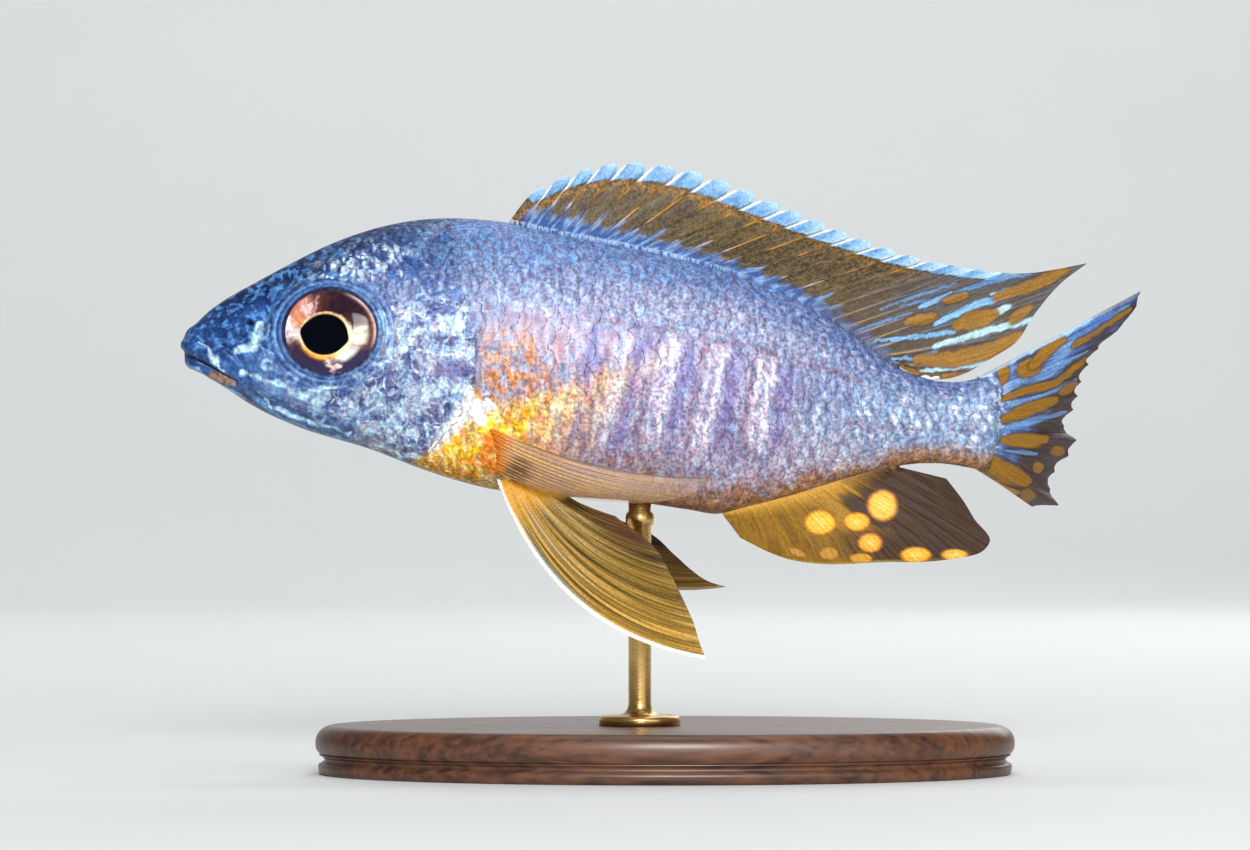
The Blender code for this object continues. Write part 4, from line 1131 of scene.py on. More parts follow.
@dataclass
class Skin:
    """The whole skin of head, trunk and tail stalk, in one closed mesh.

    Its rows are stations along the fish, bent so that one of them follows the rear edge of the
    gill cover, and its columns run round the body.
    """

    body: Body
    markings: Markings
    depth: float = 0.2
    columns_a_side: int = 124
    gill_station: float = 36.0
    gill_bed: float = 0.12
    mouth: tuple = rounded(((-1, 6.55), (0.4, 5.65), (2.5, 4.3), (4.6, 3.05), (6.8, 1.85)))
    nostril: tuple = (8.3, 9.5)
    folds: tuple = (
        (((4.2, 7), (5.9, 5.9), (7.3, 4.2), (7.9, 2.4), (7.4, 1)), 0.32, 0.28),
        (((7.2, 1.5), (9.5, 0.1), (13, -1.6), (16.4, -3)), 0.3, 0.26),
        (((26.4, 8.2), (25.9, 3.6), (25.1, -0.4), (22.4, -3.6), (18, -4.8)), 0.38, 0.26),
        (((27.4, -7), (24, -5.8), (20, -5.6)), 0.3, 0.16),
        (((28.6, 10.6), (30.4, 11.6), (33.6, 12.2)), 0.35, 0.16),
    )  # lines, widths and depths

    def stations(self) -> tuple[Array, Array, Array]:
        """The rows: their s before the bending, how far each is drawn forward, and its drop."""
        def run(start: float, end: float, step: float) -> Array:
            """Evenly spaced rows from start up to but not including end."""
            return np.linspace(start, end, round((end - start) / step), endpoint=False)

        front = np.concatenate([
            run(0.02, 0.6, 0.04), run(0.6, 7.5, 0.085), run(7.5, 12, 0.12), run(12, 25.5, 0.125),
            run(25.5, 35.2, 0.17),
        ])
        edge = self.gill_station
        rim = np.array([edge - 0.6, edge - 0.34, edge - 0.16, edge - 0.04, edge, edge, edge, edge + 0.25])
        drawn = np.array([0, 0, 0, 0, 0.06, 0.2, 0.3, 0.1])
        drop = np.array([0, 0.03, 0.1, 0.24, 0.42, 0.7, 1, 1])
        back = np.concatenate([run(edge + 0.6, 60, 0.6), run(60, BODY_LENGTH, 0.75), [BODY_LENGTH]])
        rows = np.concatenate([front, rim, back])
        pad = (len(front), len(back))
        return rows, np.pad(drawn, pad), np.concatenate([np.zeros(pad[0]), drop, np.ones(pad[1])])

    def angles(self) -> Array:
        """The columns, closer together across the flanks, where the face needs them."""
        x = np.linspace(-1, 1, self.columns_a_side + 1)
        half = math.pi / 2 * (0.6 * x + 0.4 * x**3)
        return np.concatenate([half[:-1], math.pi - half[::-1][:-1]])

    def nostril_reach(self, s: Array, h: Array) -> Array:
        """The distance from the middle of the nostril, in mm."""
        return np.hypot(s - self.nostril[0], h - self.nostril[1])

    def relief(self, s: Array, h: Array, drop: Array, past: Array) -> Array:
        """How far each point of the skin lies above the plain body, in mm.

        Args:
            s: places along the fish.
            h: places up the fish.
            drop: 0 on the gill cover, 1 behind its rear edge.
            past: how far behind that edge the row lies.

        Returns:
            The heights: lips and the groove between them, folds, nostrils, pores, the socket of
            the eye, and the step down behind the gill cover, each a hump or a smooth step.
        """
        found = np.full(s.shape, -self.depth)
        step = self.body.gill_step(h)
        swell = self.body.gill_swell(np.minimum(s, self.gill_station), h)
        bed = self.gill_bed * step * np.exp(-np.maximum(past, 0) / 1.1)
        found += swell * (1 - drop) - bed * drop

        distance, along, above = nearest(self.mouth, s, h)
        signed = distance * above
        lips = fall(along, 0.84, 1)
        tip = ease(s, 0.2, 2.4)
        found += lips * (0.34 * hump(signed, 0.8, 0.5) + 0.3 * hump(signed, -0.72, 0.42))
        found += 0.28 * fall(s, 0.2, 2.8)
        found += 0.4 * np.exp(-((s - 0.8) / 0.9) ** 2 - ((h - 8.2) / 1.1) ** 2)
        found += 0.3 * np.exp(-((s - 1.1) / 0.9) ** 2 - ((h - 4.5) / 0.8) ** 2)
        found -= fall(along, 0.96, 1) * (0.3 + 0.7 * tip) * (
            0.4 * hump(signed, 0, 0.12) + 0.18 * hump(signed, 0, 0.36)) * (0.25 + 0.75 * ease(s, 0.1, 1.6))
        found -= 0.16 * lips * hump(signed, 1.75, 0.28) * tip
        found += 0.62 * np.exp(-self.markings.root_reach(s, h) ** 2) * ease(past, 0.2, 1)

        for line, width, deep in self.folds:
            away, passed, _ = nearest(rounded(line, 3), s, h)
            fade = ease(passed, 0, 0.12) * fall(passed, 0.88, 1)
            found -= deep * fade * hump(away, 0, width)
            found += 0.4 * deep * fade * hump(away, width * 2.6, width * 1.4)

        hole = self.nostril_reach(s, h)
        found += 0.2 * hump(hole, 0.62, 0.22) - 0.75 * hump(hole, 0, 0.36)
        for place, height, radius in self.markings.pores:
            away = np.hypot(s - place, h - height)
            found += 0.07 * hump(away, radius, 0.25) - 0.16 * hump(away, 0, radius * 0.6)

        found -= 0.3 * ease(s, BODY_LENGTH - 0.7, BODY_LENGTH)
        reach = self.body.eye_reach(s, h)
        found -= 3.2 * fall(reach, 0.72, 0.95)
        uneven = self.markings.grain(s * 1.3, h * 1.3, 3) - 0.5
        return found + 0.07 * uneven * fall(s, 30, 40)

    def make(self) -> Piece:
        """Works out the skin: the body's surface moved along its normals by the relief."""
        rows, drawn, drop = self.stations()
        angles = self.angles()
        u, angle = np.meshgrid(rows, angles, indexing="ij")
        edge = self.gill_station
        share = np.where(u < edge, ease(u, 8, edge), 1 - ease(u, edge, 64))
        s = u.copy()
        for _ in range(4):
            h = self.body.around(s, angle)[..., 2]
            s = u + (self.body.gill_edge(h) - edge) * share
        h = self.body.around(s, angle)[..., 2]
        step = self.body.gill_step(h)
        s = s - drawn[:, None] * step
        past = (rows - edge)[:, None] * np.ones_like(s)
        full = drop[:, None] * np.ones_like(s)
        outwards = self.body.normals(s, angle)
        flat = np.minimum(1, 4 * np.abs(np.cos(angle)))
        height = self.relief(s, h, full, past)
        height = -self.depth + (height + self.depth) * np.where(s < 3, 1, flat)
        places = self.body.around(s, angle) + outwards * height[..., None]

        side = np.cos(angle) > 0
        tints = np.empty((*s.shape, 3))
        for each, chosen in ((Side.RIGHT, side), (Side.LEFT, ~side)):
            there = (s[chosen], h[chosen])
            found = self.markings.drawn(self.markings.ground(*there, each), *there)
            # painted shade in the step down behind the gill cover's rear edge
            shade = 0.12 * (full * step * hump(past, 0, 0.3) * ease(h, -4, 0) * fall(h, 2, 5))[chosen]
            found = over(found, srgb(0x5C5280), shade)
            # painted shade: a near-black line in the groove where the lips meet
            distance = nearest(self.mouth, *there)
            lips = fall(distance[1], 0.96, 1) * hump(distance[0], 0, 0.16)
            found = over(found, srgb(0x241822), 0.9 * lips)
            # painted shade: the nostril's pit is painted near black
            tints[chosen] = over(found, srgb(0x101428), 0.9 * fall(self.nostril_reach(*there), 0.2, 0.48))

        nose, tail = places[0].mean(axis=0), places[-1].mean(axis=0)
        nose[0] = places[0, :, 0].min() - 0.01
        points = np.concatenate([places.reshape(-1, 3), [nose, tail]])
        tints = np.concatenate([tints.reshape(-1, 3), [tints[0].mean(axis=0), tints[-1].mean(axis=0)]])
        pearl = self.markings.pearl(points[:, 0], points[:, 2])
        return Piece("skin", points, capped_faces(*s.shape), tints, {"pearl": pearl})

    def build(self) -> Thing:
        """Builds the skin, which stands for every node of flesh."""
        flesh = ("head", "lower_jaw", "gill_cover_left", "gill_cover_right", "trunk", "tail_stalk")
        return self.make().build(SkinFinish("moist_skin").material(), Slot.FLANK, flesh)


def with_rims(grids: Array) -> Array:
    """Values on the grids of some plates, with those of the two side rims again after each grid."""
    sides = grids[:, :, [0, -1]].swapaxes(1, 2)
    return np.concatenate([grids.reshape(len(grids), -1, grids.shape[-1]),
                           sides.reshape(len(grids), -1, grids.shape[-1])], axis=1)


def plates(top: Array, low: Array) -> tuple[Array, list]:
    """Closes plates: their tops are grids, their undersides go straight across from rim to rim.

    Args:
        top: the grids' points, as (plate, row, column, 3).
        low: the same points on the underside, of which the two side columns are used.

    Returns:
        The points of each plate, and the faces: tops, sides and undersides, fronts, and rears.
    """
    count, n = len(top), top.shape[1] - 1
    rims = low[:, :, [0, -1]].swapaxes(1, 2).reshape(count, -1, 3)
    points = np.concatenate([top.reshape(count, -1, 3), rims], axis=1)
    grid = (n + 1) ** 2
    rows = np.arange(n)
    left, right = grid + rows, grid + n + 1 + rows
    first, last = rows * (n + 1), rows * (n + 1) + n
    sides = np.concatenate([
        np.stack([first, first + n + 1, left + 1, left], axis=1),
        np.stack([last + n + 1, last, right, right + 1], axis=1),
        np.stack([left, left + 1, right + 1, right], axis=1),
    ])
    front = np.concatenate([np.arange(n + 1), [grid + n + 1, grid]])[None, :]
    rear = np.concatenate([np.arange(n, -1, -1) + n * (n + 1), [grid + n, grid + 2 * n + 1]])[None, :]
    offset = (np.arange(count) * points.shape[1])[:, None, None]
    each = (sheet_faces(n + 1, n + 1)[:, ::-1], sides, front, rear)
    return points, [(quads[None] + offset).reshape(-1, quads.shape[1]) for quads in each]


@dataclass(frozen=True)
class Cover:
    """One kind of scale: its spacing from front to rear, its rows, its relief and where it grows."""

    label: str
    pitch: tuple
    span: tuple
    row: float
    shrink: float
    lift: float
    steps: int
    slot: Slot
    length: float = 1.65
    width: float = 2.15


@dataclass
class Scales:
    """Overlapping scales, laid on a staggered lattice of s and distance round the body."""

    body: Body
    markings: Markings
    flank: Cover = Cover("flank", (1.45, 2), (28, 99), 1.74, 0.012, 0.026, 6, Slot.FLANK)
    face: Cover = Cover("head", (1, 1.55), (12, 37), 1.22, 0.01, 0.028, 5, Slot.HEAD)
    thickness: float = 0.012
    narrowing: float = 0.27
    skin_depth: float = 0.2
    seed: int = 21
    patch: float = 0.003

    def __post_init__(self) -> None:
        """Tabulates the angle round the body against s and the distance round it from its widest level."""
        self.table_s = np.linspace(0.5, BODY_LENGTH, 198)
        self.table_w = np.linspace(-32, 36, 273)
        angles = np.linspace(-math.pi / 2 - 1.2, math.pi / 2 + 1.2, 481)
        s, angle = np.meshgrid(self.table_s, angles, indexing="ij")
        places = self.body.around(s, angle)[..., 1:]
        steps = np.linalg.norm(np.diff(places, axis=1), axis=-1)
        arc = np.concatenate([np.zeros((len(s), 1)), np.cumsum(steps, axis=1)], axis=1)
        arc -= np.array([np.interp(0, angles, row) for row in arc])[:, None]
        self.table = np.array([np.interp(self.table_w, row, angles) for row in arc])
        self.top = np.array([np.interp(math.pi / 2, angles, row) for row in arc])
        self.bottom = np.array([np.interp(-math.pi / 2, angles, row) for row in arc])

    def angle_of(self, s: Array, w: Array) -> Array:
        """The angle round the body at s and w, blended from the table."""
        x, y = (np.clip((place - table[0]) / (table[1] - table[0]), 0, len(table) - 1.001)
                for place, table in ((s, self.table_s), (w, self.table_w)))
        i, j = x.astype(int), y.astype(int)
        f, g = x - i, y - j
        t = self.table
        low = t[i, j] * (1 - f) + t[i + 1, j] * f
        return low * (1 - g) + (t[i, j + 1] * (1 - f) + t[i + 1, j + 1] * f) * g

    def grows(self, cover: Cover, s: Array, h: Array) -> Array:
        """Whether a scale of that kind grows with its middle at (s, h)."""
        behind = self.markings.behind(s, h)
        open_ = (h < 9) & (h > -9)
        if cover is self.flank:
            bare = self.markings.root_reach(s, h) < 1.25
            return (behind > np.where(open_, 0.62, 0)) & (s < 98.2) & ~bare
        ahead = behind < np.where(open_, -0.95, 0.6)
        nape = (h > 12.5 + 0.35 * np.maximum(20 - s, 0)) & (s > 14.5)
        opercle = (s > 26.6) & (h > -6)
        cheek = (s > 19) & (h < 4) & (h > -2 - 0.35 * (s - 18))
        return ahead & (self.body.eye_reach(s, h) > 1.45) & (nape | opercle | cheek)

    def slim(self, s: Array) -> Array:
        """How much smaller the scales are at s than on the flank: towards the tail all get smaller."""
        return 1 - self.narrowing * ease(s, 60, 88)

    def lattice(self, cover: Cover) -> tuple[Array, Array, Array, Array]:
        """The middles of the scales of one kind, each shifted a little at random.

        Columns stand so far apart that the pitch grows smoothly from the first to the last, and
        rows come closer together by a square law towards the back and the belly.

        Args:
            cover: the kind of scale.

        Returns:
            The middles as s and w, and the spacing of the columns and rows there.
        """
        first, last = cover.span
        run = np.linspace(first, last, 2000)
        pitch = cover.pitch[0] + (cover.pitch[1] - cover.pitch[0]) * ease(run, first + 4, min(last, 52))
        pitch = pitch * self.slim(run)
        passed = np.concatenate([[0], np.cumsum((run[1] - run[0]) / pitch[:-1])])
        column, row = np.meshgrid(np.arange(int(passed[-1]) + 1), np.arange(-30, 37), indexing="xy")
        s = np.interp(column + 0.5 * (row % 2), passed, run)
        far = np.abs(row)
        w = np.sign(row) * cover.row * far * (1 - cover.shrink * far)
        wide = np.maximum(cover.row * (1 - 2 * cover.shrink * far), 0.5) * self.slim(s)
        w = w * self.slim(s)
        long = np.interp(s, run, pitch)
        draw = np.random.default_rng(self.seed)
        s = s + draw.normal(0, 0.04, s.shape) * long
        w = w + draw.normal(0, 0.035, w.shape) * wide
        s, w, long, wide = (values.ravel() for values in (s, w, long, wide))
        inside = (s < BODY_LENGTH) & (w < np.interp(s, self.table_s, self.top) + 0.1)
        inside &= w > np.interp(s, self.table_s, self.bottom) - 0.1
        s, w, long, wide = s[inside], w[inside], long[inside], wide[inside]
        kept = self.grows(cover, s, self.body.around(s, self.angle_of(s, w))[..., 2])
        return s[kept], w[kept], long[kept], wide[kept]

    def make(self, cover: Cover, side: Side) -> Piece:
        """Works out all scales of one kind on one side.

        Each scale is a small grid: t runs from its root to its rear edge, an arc, and v across it,
        both closer together towards the rim, which is narrow. Its height grows with the distance
        from the root, so that it lies over the scale behind. The underside is closed straight
        across from rim to rim.

        Args:
            cover: the kind of scale.
            side: the side of the fish.

        Returns:
            The scales in one mesh, with the map plate for their furrows, and the map OFBake, on
            which each is a small patch at its root's place on an unwrap of the body.
        """
        n = cover.steps
        middle_s, middle_w, long, wide = self.lattice(cover)
        count = len(middle_s)
        step = np.linspace(-1, 1, n + 1)
        rise = 1 - (1 - np.linspace(0, 1, n + 1)) ** 1.7
        t, v = np.meshgrid(rise, np.sign(step) * (1 - (1 - np.abs(step)) ** 2.6), indexing="ij")
        arc = 0.5 - 0.4 * (1 - np.sqrt(1 - (0.96 * v) ** 2))
        draw = np.random.default_rng(self.seed + 1)
        size = 1 + draw.normal(0, 0.035, (count, 1, 1))
        tilt = draw.normal(0, 0.045, (count, 1, 1))
        along = (-0.5 + (arc + 0.5) * t) * (cover.length * long)[:, None, None] * size
        across = v * (0.82 + 0.18 * np.sin(math.pi * np.clip(t * 1.1, 0, 1)))
        across = across * (cover.width / 2 * wide)[:, None, None] * size
        s = np.clip(middle_s[:, None, None] + along - across * tilt, 0.6, BODY_LENGTH - 0.05)
        w = middle_w[:, None, None] + across + along * tilt
        angle = self.angle_of(s, w)
        if side is Side.LEFT:
            angle = math.pi - angle
        base = self.body.around(s, angle)
        outwards = self.body.normals(s, angle)
        lift = cover.lift * (long / cover.pitch[1] * (0.55 + 0.45 * ease(middle_s, 55, 78)))[:, None, None]
        height = lift * (-0.5 + (arc + 0.5) * t + 0.5) + 0.009 * (1 - v * v) * np.sin(math.pi * t)
        height = height - self.skin_depth + 0.02 + draw.normal(0, 0.003, (count, 1, 1))
        if cover is self.face:
            height = height + self.body.gill_swell(s, base[..., 2])
        top = base + outwards * height[..., None]
        low = top - outwards * self.thickness

        points, faces = plates(top, low)
        tints = with_rims(self.tints(cover, side, base, t, v, draw))
        pearl = self.markings.pearl(points[..., 0], points[..., 2])

        across_map = 0.5 + side.value * (0.24 + middle_w / 190)
        unwrap = np.stack([0.02 + 0.96 * middle_s / BODY_LENGTH, across_map], axis=-1)
        local = with_rims(np.stack([t - 0.5, v / 2], axis=-1)[None])
        baked = unwrap[:, None, :] + local * self.patch
        plate = np.broadcast_to(local, baked.shape) + (middle_s + 0.37 * middle_w)[:, None, None]
        name = f"scales_{cover.label}_{side.label}"
        return Piece(name, points.reshape(-1, 3), faces, tints.reshape(-1, 3), {"pearl": pearl},
                     {"OFBake": baked.reshape(-1, 2), "plate": plate.reshape(-1, 2)}, 3)

    def tints(self, cover: Cover, side: Side, base: Array, t: Array, v: Array,
              draw: np.random.Generator) -> Array:
        """The colours of the scales: ground, a hem at the edges, the pale spangle in the middle, partly a
        painted sheen.

        Args:
            cover: the kind of scale.
            side: the side of the fish.
            base: the scales' places on the body, as (plate, row, column, 3).
            t: how far each place is from the scale's root, 0 to 1.
            v: how far each is across the scale, -1 to 1.
            draw: where each scale's own shine and stain come from.

        Returns:
            Linear colours.
        """
        s, h = base[..., 0], base[..., 2]
        marks = self.markings
        each = (len(base), 1, 1)
        colour = marks.ground(s, h, side)
        shine, stain = draw.uniform(0.1, 1, each), draw.uniform(0.2, 1, each)
        dull = draw.uniform(0, 0.3, each)
        calm = 1 - 0.85 * marks.brow(s, h)
        nape = ease(h, 8, 13) * fall(s, 40, 52)
        hem = np.maximum(ease(t, 0.66, 0.98), 0.8 * ease(np.abs(v), 0.35, 0.9) * ease(t, 0.3, 0.6))
        hem = hem * ease(marks.grain(s * 1.6 + 30, h * 1.6, 2), 0.25, 0.6)
        strength = (0.42 if cover is self.flank else 0.3) + 0.2 * nape
        colour = painted(
            colour,
            (marks.hem(s, h), dull * calm),
            (marks.hem(s, h), strength * stain * hem * calm),
        )
        # gleam: the pale spangle, partly the scale's own pearly colour, partly a painted sheen that each
        # scale's shine makes stronger or weaker
        gleam = shine * hump(t + 0.1 * v, draw.uniform(0.55, 0.78, each), 0.14)
        gleam = gleam * hump(v, draw.normal(0, 0.2, each), 0.5)
        gleam = gleam * (0.45 + 1.1 * ease(marks.grain(s * 2.1, h * 1.3 + 60, 2), 0.35, 0.65))
        colour = over(colour, marks.spangle(s, h), gleam * calm)
        if cover is self.face:
            return marks.drawn(colour, s, h)
        colour = marks.barred(colour, s, h)
        return lay_all(lay_all(colour, marks.lateral_marks, s, h), marks.gill_marks, s, h)

    def build(self) -> list[Thing]:
        """Builds the scales of flank and head on both sides."""
        finish = ScaleFinish("pearly_scales").material()
        return [self.make(cover, side).build(finish, cover.slot)
                for cover in (self.flank, self.face) for side in Side]


@dataclass
class Fin:
    """A fin: a thin closed sheet over surface(u, v), with u counting rays and v from root to margin.

    surface, tint, solid and relief take u and v, arrays of places on the fin. tint also takes the
    places in mm, and tint and solid take ridge, 1 on a ray and 0 between rays.
    """

    body: Body
    finish: Material
    name: str = ""
    rays: int = 0
    slot: Slot = Slot.UPRIGHT
    fine: int = 14
    tall: int = 60
    membrane: float = 0.22
    ray_height: float = 0.3
    ray_width: float = 0.13
    root_thickness: float = 1.3
    root_depth: float = 1.2
    root_taper: float = 0.3
    root_blend: float = 0.16
    margin_start: float = 0.92
    margin_thinning: float = 0.6
    spines: int = 0
    branching: float = 0.5
    sweep: float = 0.0
    facing: tuple = (0, 1, 0)
    inward: tuple = (0, 0, -1)

    def surface(self, u: Array, v: Array) -> Array:
        """The fin's middle sheet as (s, y, h)."""
        raise NotImplementedError

    def tint(self, u: Array, v: Array, places: Array, ridge: Array) -> Array:
        """The fin's colours."""
        raise NotImplementedError

    def solid(self, u: Array, v: Array, ridge: Array) -> Array | None:
        """How little the fin lets itself be seen through, or nothing where it is opaque all over."""
        return None

    def relief(self, u: Array, v: Array) -> Array:
        """What stands out on the fin beside its rays, in mm."""
        return np.zeros_like(u)

    def ridges(self, u: Array, v: Array, spacing: Array) -> Array:
        """How strongly the rays stand out, 0 to 1.

        A spine is one ridge. A soft ray is one ridge near the root, two past the place where it
        branches, then four and eight near the margin, each a rounded hump across the membrane.

        Args:
            u: places across the fin, where ray n is at n.
            v: places from its root, 0, to its margin, 1.
            spacing: the distance between rays there, in mm.

        Returns:
            The strengths.
        """
        off = u - np.round(u)
        first = self.branching
        split = 0.23 * ease(v, first - 0.25, first + 0.25)
        again = 0.115 * ease(v, first, first + 0.4)
        twig = 0.055 * ease(v, first + 0.25, first + 0.55)
        width = np.clip(self.ray_width / np.maximum(spacing, 0.2), 0.03, 0.3)
        soft = np.zeros_like(u)
        for turn in range(8):
            one, two, three = (1 if turn >> bit & 1 else -1 for bit in range(3))
            branch = off - one * split - two * again - three * twig
            soft = np.maximum(soft, hump(branch / width, 0, 1))
        hard = hump(off / (width * 1.2), 0, 1)
        is_spine = u < self.spines - 0.5
        fade = np.where(is_spine, 1, 1 - 0.45 * v)
        return np.where(is_spine, hard, soft) * fade * ease(v, -0.02, 0.06)

    def make(self) -> Piece:
        """Works out the fin: the sheet moved both ways along facing by half its thickness.

        The thickness is the membrane's, more on the rays and at the root, and thin at the margin.
        """
        columns = np.linspace(0, self.rays - 1, (self.rays - 1) * self.fine + 1)
        rows = np.concatenate([[-1], np.linspace(0, 1, self.tall)])
        u, v = np.meshgrid(columns, rows, indexing="ij")
        inside = np.maximum(v, 0)
        behind = np.array(self.inward) / np.linalg.norm(self.inward) * self.root_depth
        middle = self.surface(u, inside) + behind * np.maximum(-v, 0)[..., None]
        spacing = np.linalg.norm(np.gradient(middle, axis=0), axis=-1) * self.fine
        ridge = self.ridges(u - self.sweep * inside, inside, spacing)
        body = self.membrane + ridge * self.ray_height
        within = ease(np.minimum(u, self.rays - 1 - u), -0.3, self.root_taper)
        root = (self.root_thickness - self.membrane) * fall(inside, 0, self.root_blend) * within
        thin = 1 - self.margin_thinning * ease(inside, self.margin_start, 1)
        half = (body * thin + root) / 2 + self.relief(u, inside)
        out = np.array(self.facing) / np.linalg.norm(self.facing)
        near, far = middle + out * half[..., None], middle - out * half[..., None]
        tints = self.tint(u, inside, middle, ridge)

        wide, tall = u.shape
        numbers = np.arange(wide * tall).reshape(wide, tall)
        rim = np.concatenate([numbers[:, 0], numbers[-1, 1:], numbers[-2::-1, -1], numbers[0, -2:0:-1]])
        ahead = np.roll(rim, -1)
        other = wide * tall
        band = np.stack([ahead, rim, rim + other, ahead + other], axis=1)
        faces = [sheet_faces(wide, tall), sheet_faces(wide, tall, other)[:, ::-1], band[:, ::-1]]
        points = np.concatenate([near.reshape(-1, 3), far.reshape(-1, 3)])
        both = np.concatenate([tints.reshape(-1, 3)] * 2)
        solid = self.solid(u, inside, ridge)
        extras = {} if solid is None else {"solid": np.concatenate([solid.ravel()] * 2)}
        return Piece(self.name + "_skin", points, faces, both, extras)

    def build(self) -> Thing:
        """Builds the fin, which stands for its solid."""
        return self.make().build(self.finish, self.slot, (self.name,))


@dataclass
class DorsalFin(Fin):
    """The fin along the back: spines with pale blue lappets, then a pointed soft part."""

    name: str = "dorsal_fin"
    rays: int = 26
    spines: int = 17
    fine: int = 20
    tall: int = 90
    base: Curve = Curve(((0, 40), (4, 46.9), (8, 55.6), (12, 65.8), (16, 76.4), (18, 79.8), (25, 88)))
    crest: Curve = Curve((
        (0, 42.3, 25.3), (1.3, 46.2, 27.3), (4.3, 55.2, 29.3), (6.3, 62.5, 28.2), (9.3, 72.1, 24.5),
        (12.3, 80.6, 20.9), (16.3, 92.4, 17), (18, 97.6, 16.1), (20, 105.4, 15.8), (21, 111.3, 16.9),
    ))
    rear: Curve = Curve((
        (21, 111.3, 16.9), (22, 107.7, 14.1), (23, 104.6, 10.4), (24, 102.4, 7.1), (25, 98.6, 4.8),
    ))
    tip_ray: int = 21
    notch_depth: float = 2.2
    notch_fade: float = 0.6
    rear_sag: float = 1.9
    grain: Grain = Grain(31)
    blue: int = 0x8ABEE6
    gold: int = 0x9E7022

    def marks(self) -> tuple:
        """The blue and gold streaks of the soft part, front to rear and top to bottom."""
        blue, pale, gold = self.blue, 0xBEE2EE, self.gold
        return (
            Stroke(((88.3, 11.6), (93.4, 12.6), (99, 14.6), (104.4, 15.6)), 0.5, 0x6096D0, 0.85, 0.4, 0.5),
            Stroke(((85.6, 11.2), (90.4, 12.9), (95, 14.4)), 0.4, 0x689CD4, 0.7, 0.4, 0.5),
            Stroke(((82.6, 8.4), (86.4, 9.8), (89.6, 10.8)), 0.4, 0x6896D2, 0.7, 0.4, 0.5),
            Stroke(((90.5, 11.4), (94.5, 13.2)), 0.6, blue, 0.85, 0.4, 0.3),
            Stroke(((92.6, 9.5), (97.6, 11.8), (102.8, 13.2)), 0.85, blue, 1, 0.3, 0.35),
            Stroke(((99.4, 13), (104, 14.4), (107.8, 15.3)), 0.55, pale, 0.9, 0.3, 0.4),
            Stroke(((104.8, 13.9), (107.2, 14.9)), 0.5, blue, 0.9, 0.3, 0.3),
            Stroke(((99.6, 10.7), (101.4, 11.4)), 0.8, pale, 0.95, 0.3, 0.2),
            Stroke(((84.8, 7.2), (89, 7.6), (92, 8), (94.9, 8.4)), 0.6, blue, 0.9, 0.3, 0.4),
            Stroke(((92.4, 6.6), (98.4, 8.4), (104.4, 9.9)), 0.8, pale, 1, 0.3, 0.3),
            Stroke(((87, 4.9), (90, 5.2), (92.6, 6)), 0.5, blue, 0.8, 0.3, 0.3),
            Stroke(((90.6, 3.6), (96.6, 4.1), (101, 5.4)), 0.6, pale, 0.95, 0.3, 0.4),
            Stroke(((89, 9.6), (92.4, 10.3)), 1.35, gold, 1, 0.3, 0.4),
            Stroke(((93.6, 12.2), (96.2, 12.9)), 1, gold, 0.9, 0.3, 0.3),
            Stroke(((95.2, 9.2), (99.7, 10.6)), 2.2, gold, 1, 0.3, 0.45),
            Stroke(((100, 12.6), (104.6, 14.2), (108.6, 16)), 1.5, gold, 0.95, 0.3, 0.4),
            Stroke(((101.8, 9.8), (104, 11.3)), 1.3, gold, 0.95, 0.3, 0.3),
            Stroke(((90.4, 5), (94.2, 4.9), (98.8, 6), (102.6, 7.8)), 2, gold, 1, 0.3, 0.4),
            Stroke(((93.4, 2.9), (96.6, 3.1)), 0.7, gold, 0.9, 0.3, 0.2),
            Stroke(((88.2, 4), (90.2, 3.3)), 0.8, gold, 0.9, 0.3, 0.2),
            Stroke(((90.8, 2.75), (92.8, 2.7)), 0.45, 0xFAFAF0, 1, 0.3, 0.2),
        )

    def notch(self, u: Array) -> Array:
        """How deep the margin is notched at u: in front of each lappet, which is rounded behind."""
        part = u - np.floor(u)
        lobe = (1 - np.abs(2 * part**0.86 - 1) ** 2.6) ** 0.75
        depth = self.notch_depth * (1 - (1 - self.notch_fade) * u / self.spines)
        return (1 - lobe) * depth * fall(u, self.spines - 0.6, self.spines)

    def surface(self, u: Array, v: Array) -> Array:
        """Straight rays from the back to the margin, with a slow wave across the fin."""
        s = self.base(u)
        root = np.stack([s, self.body.back(s)], axis=-1)
        margin = np.where((u <= self.tip_ray)[..., None], self.crest(u), self.rear(u))
        ray = margin - root
        length = np.linalg.norm(ray, axis=-1, keepdims=True)
        place = root + ray * (1 - self.notch(u)[..., None] / length) * v[..., None]
        place[..., 1] -= self.rear_sag * 4 * v * (1 - v) * ease(u, self.tip_ray + 0.5, self.rays - 1)
        y = self.body.bend(place[..., 0]) + 0.7 * v * np.sin(0.42 * u)
        return upright(place, y)

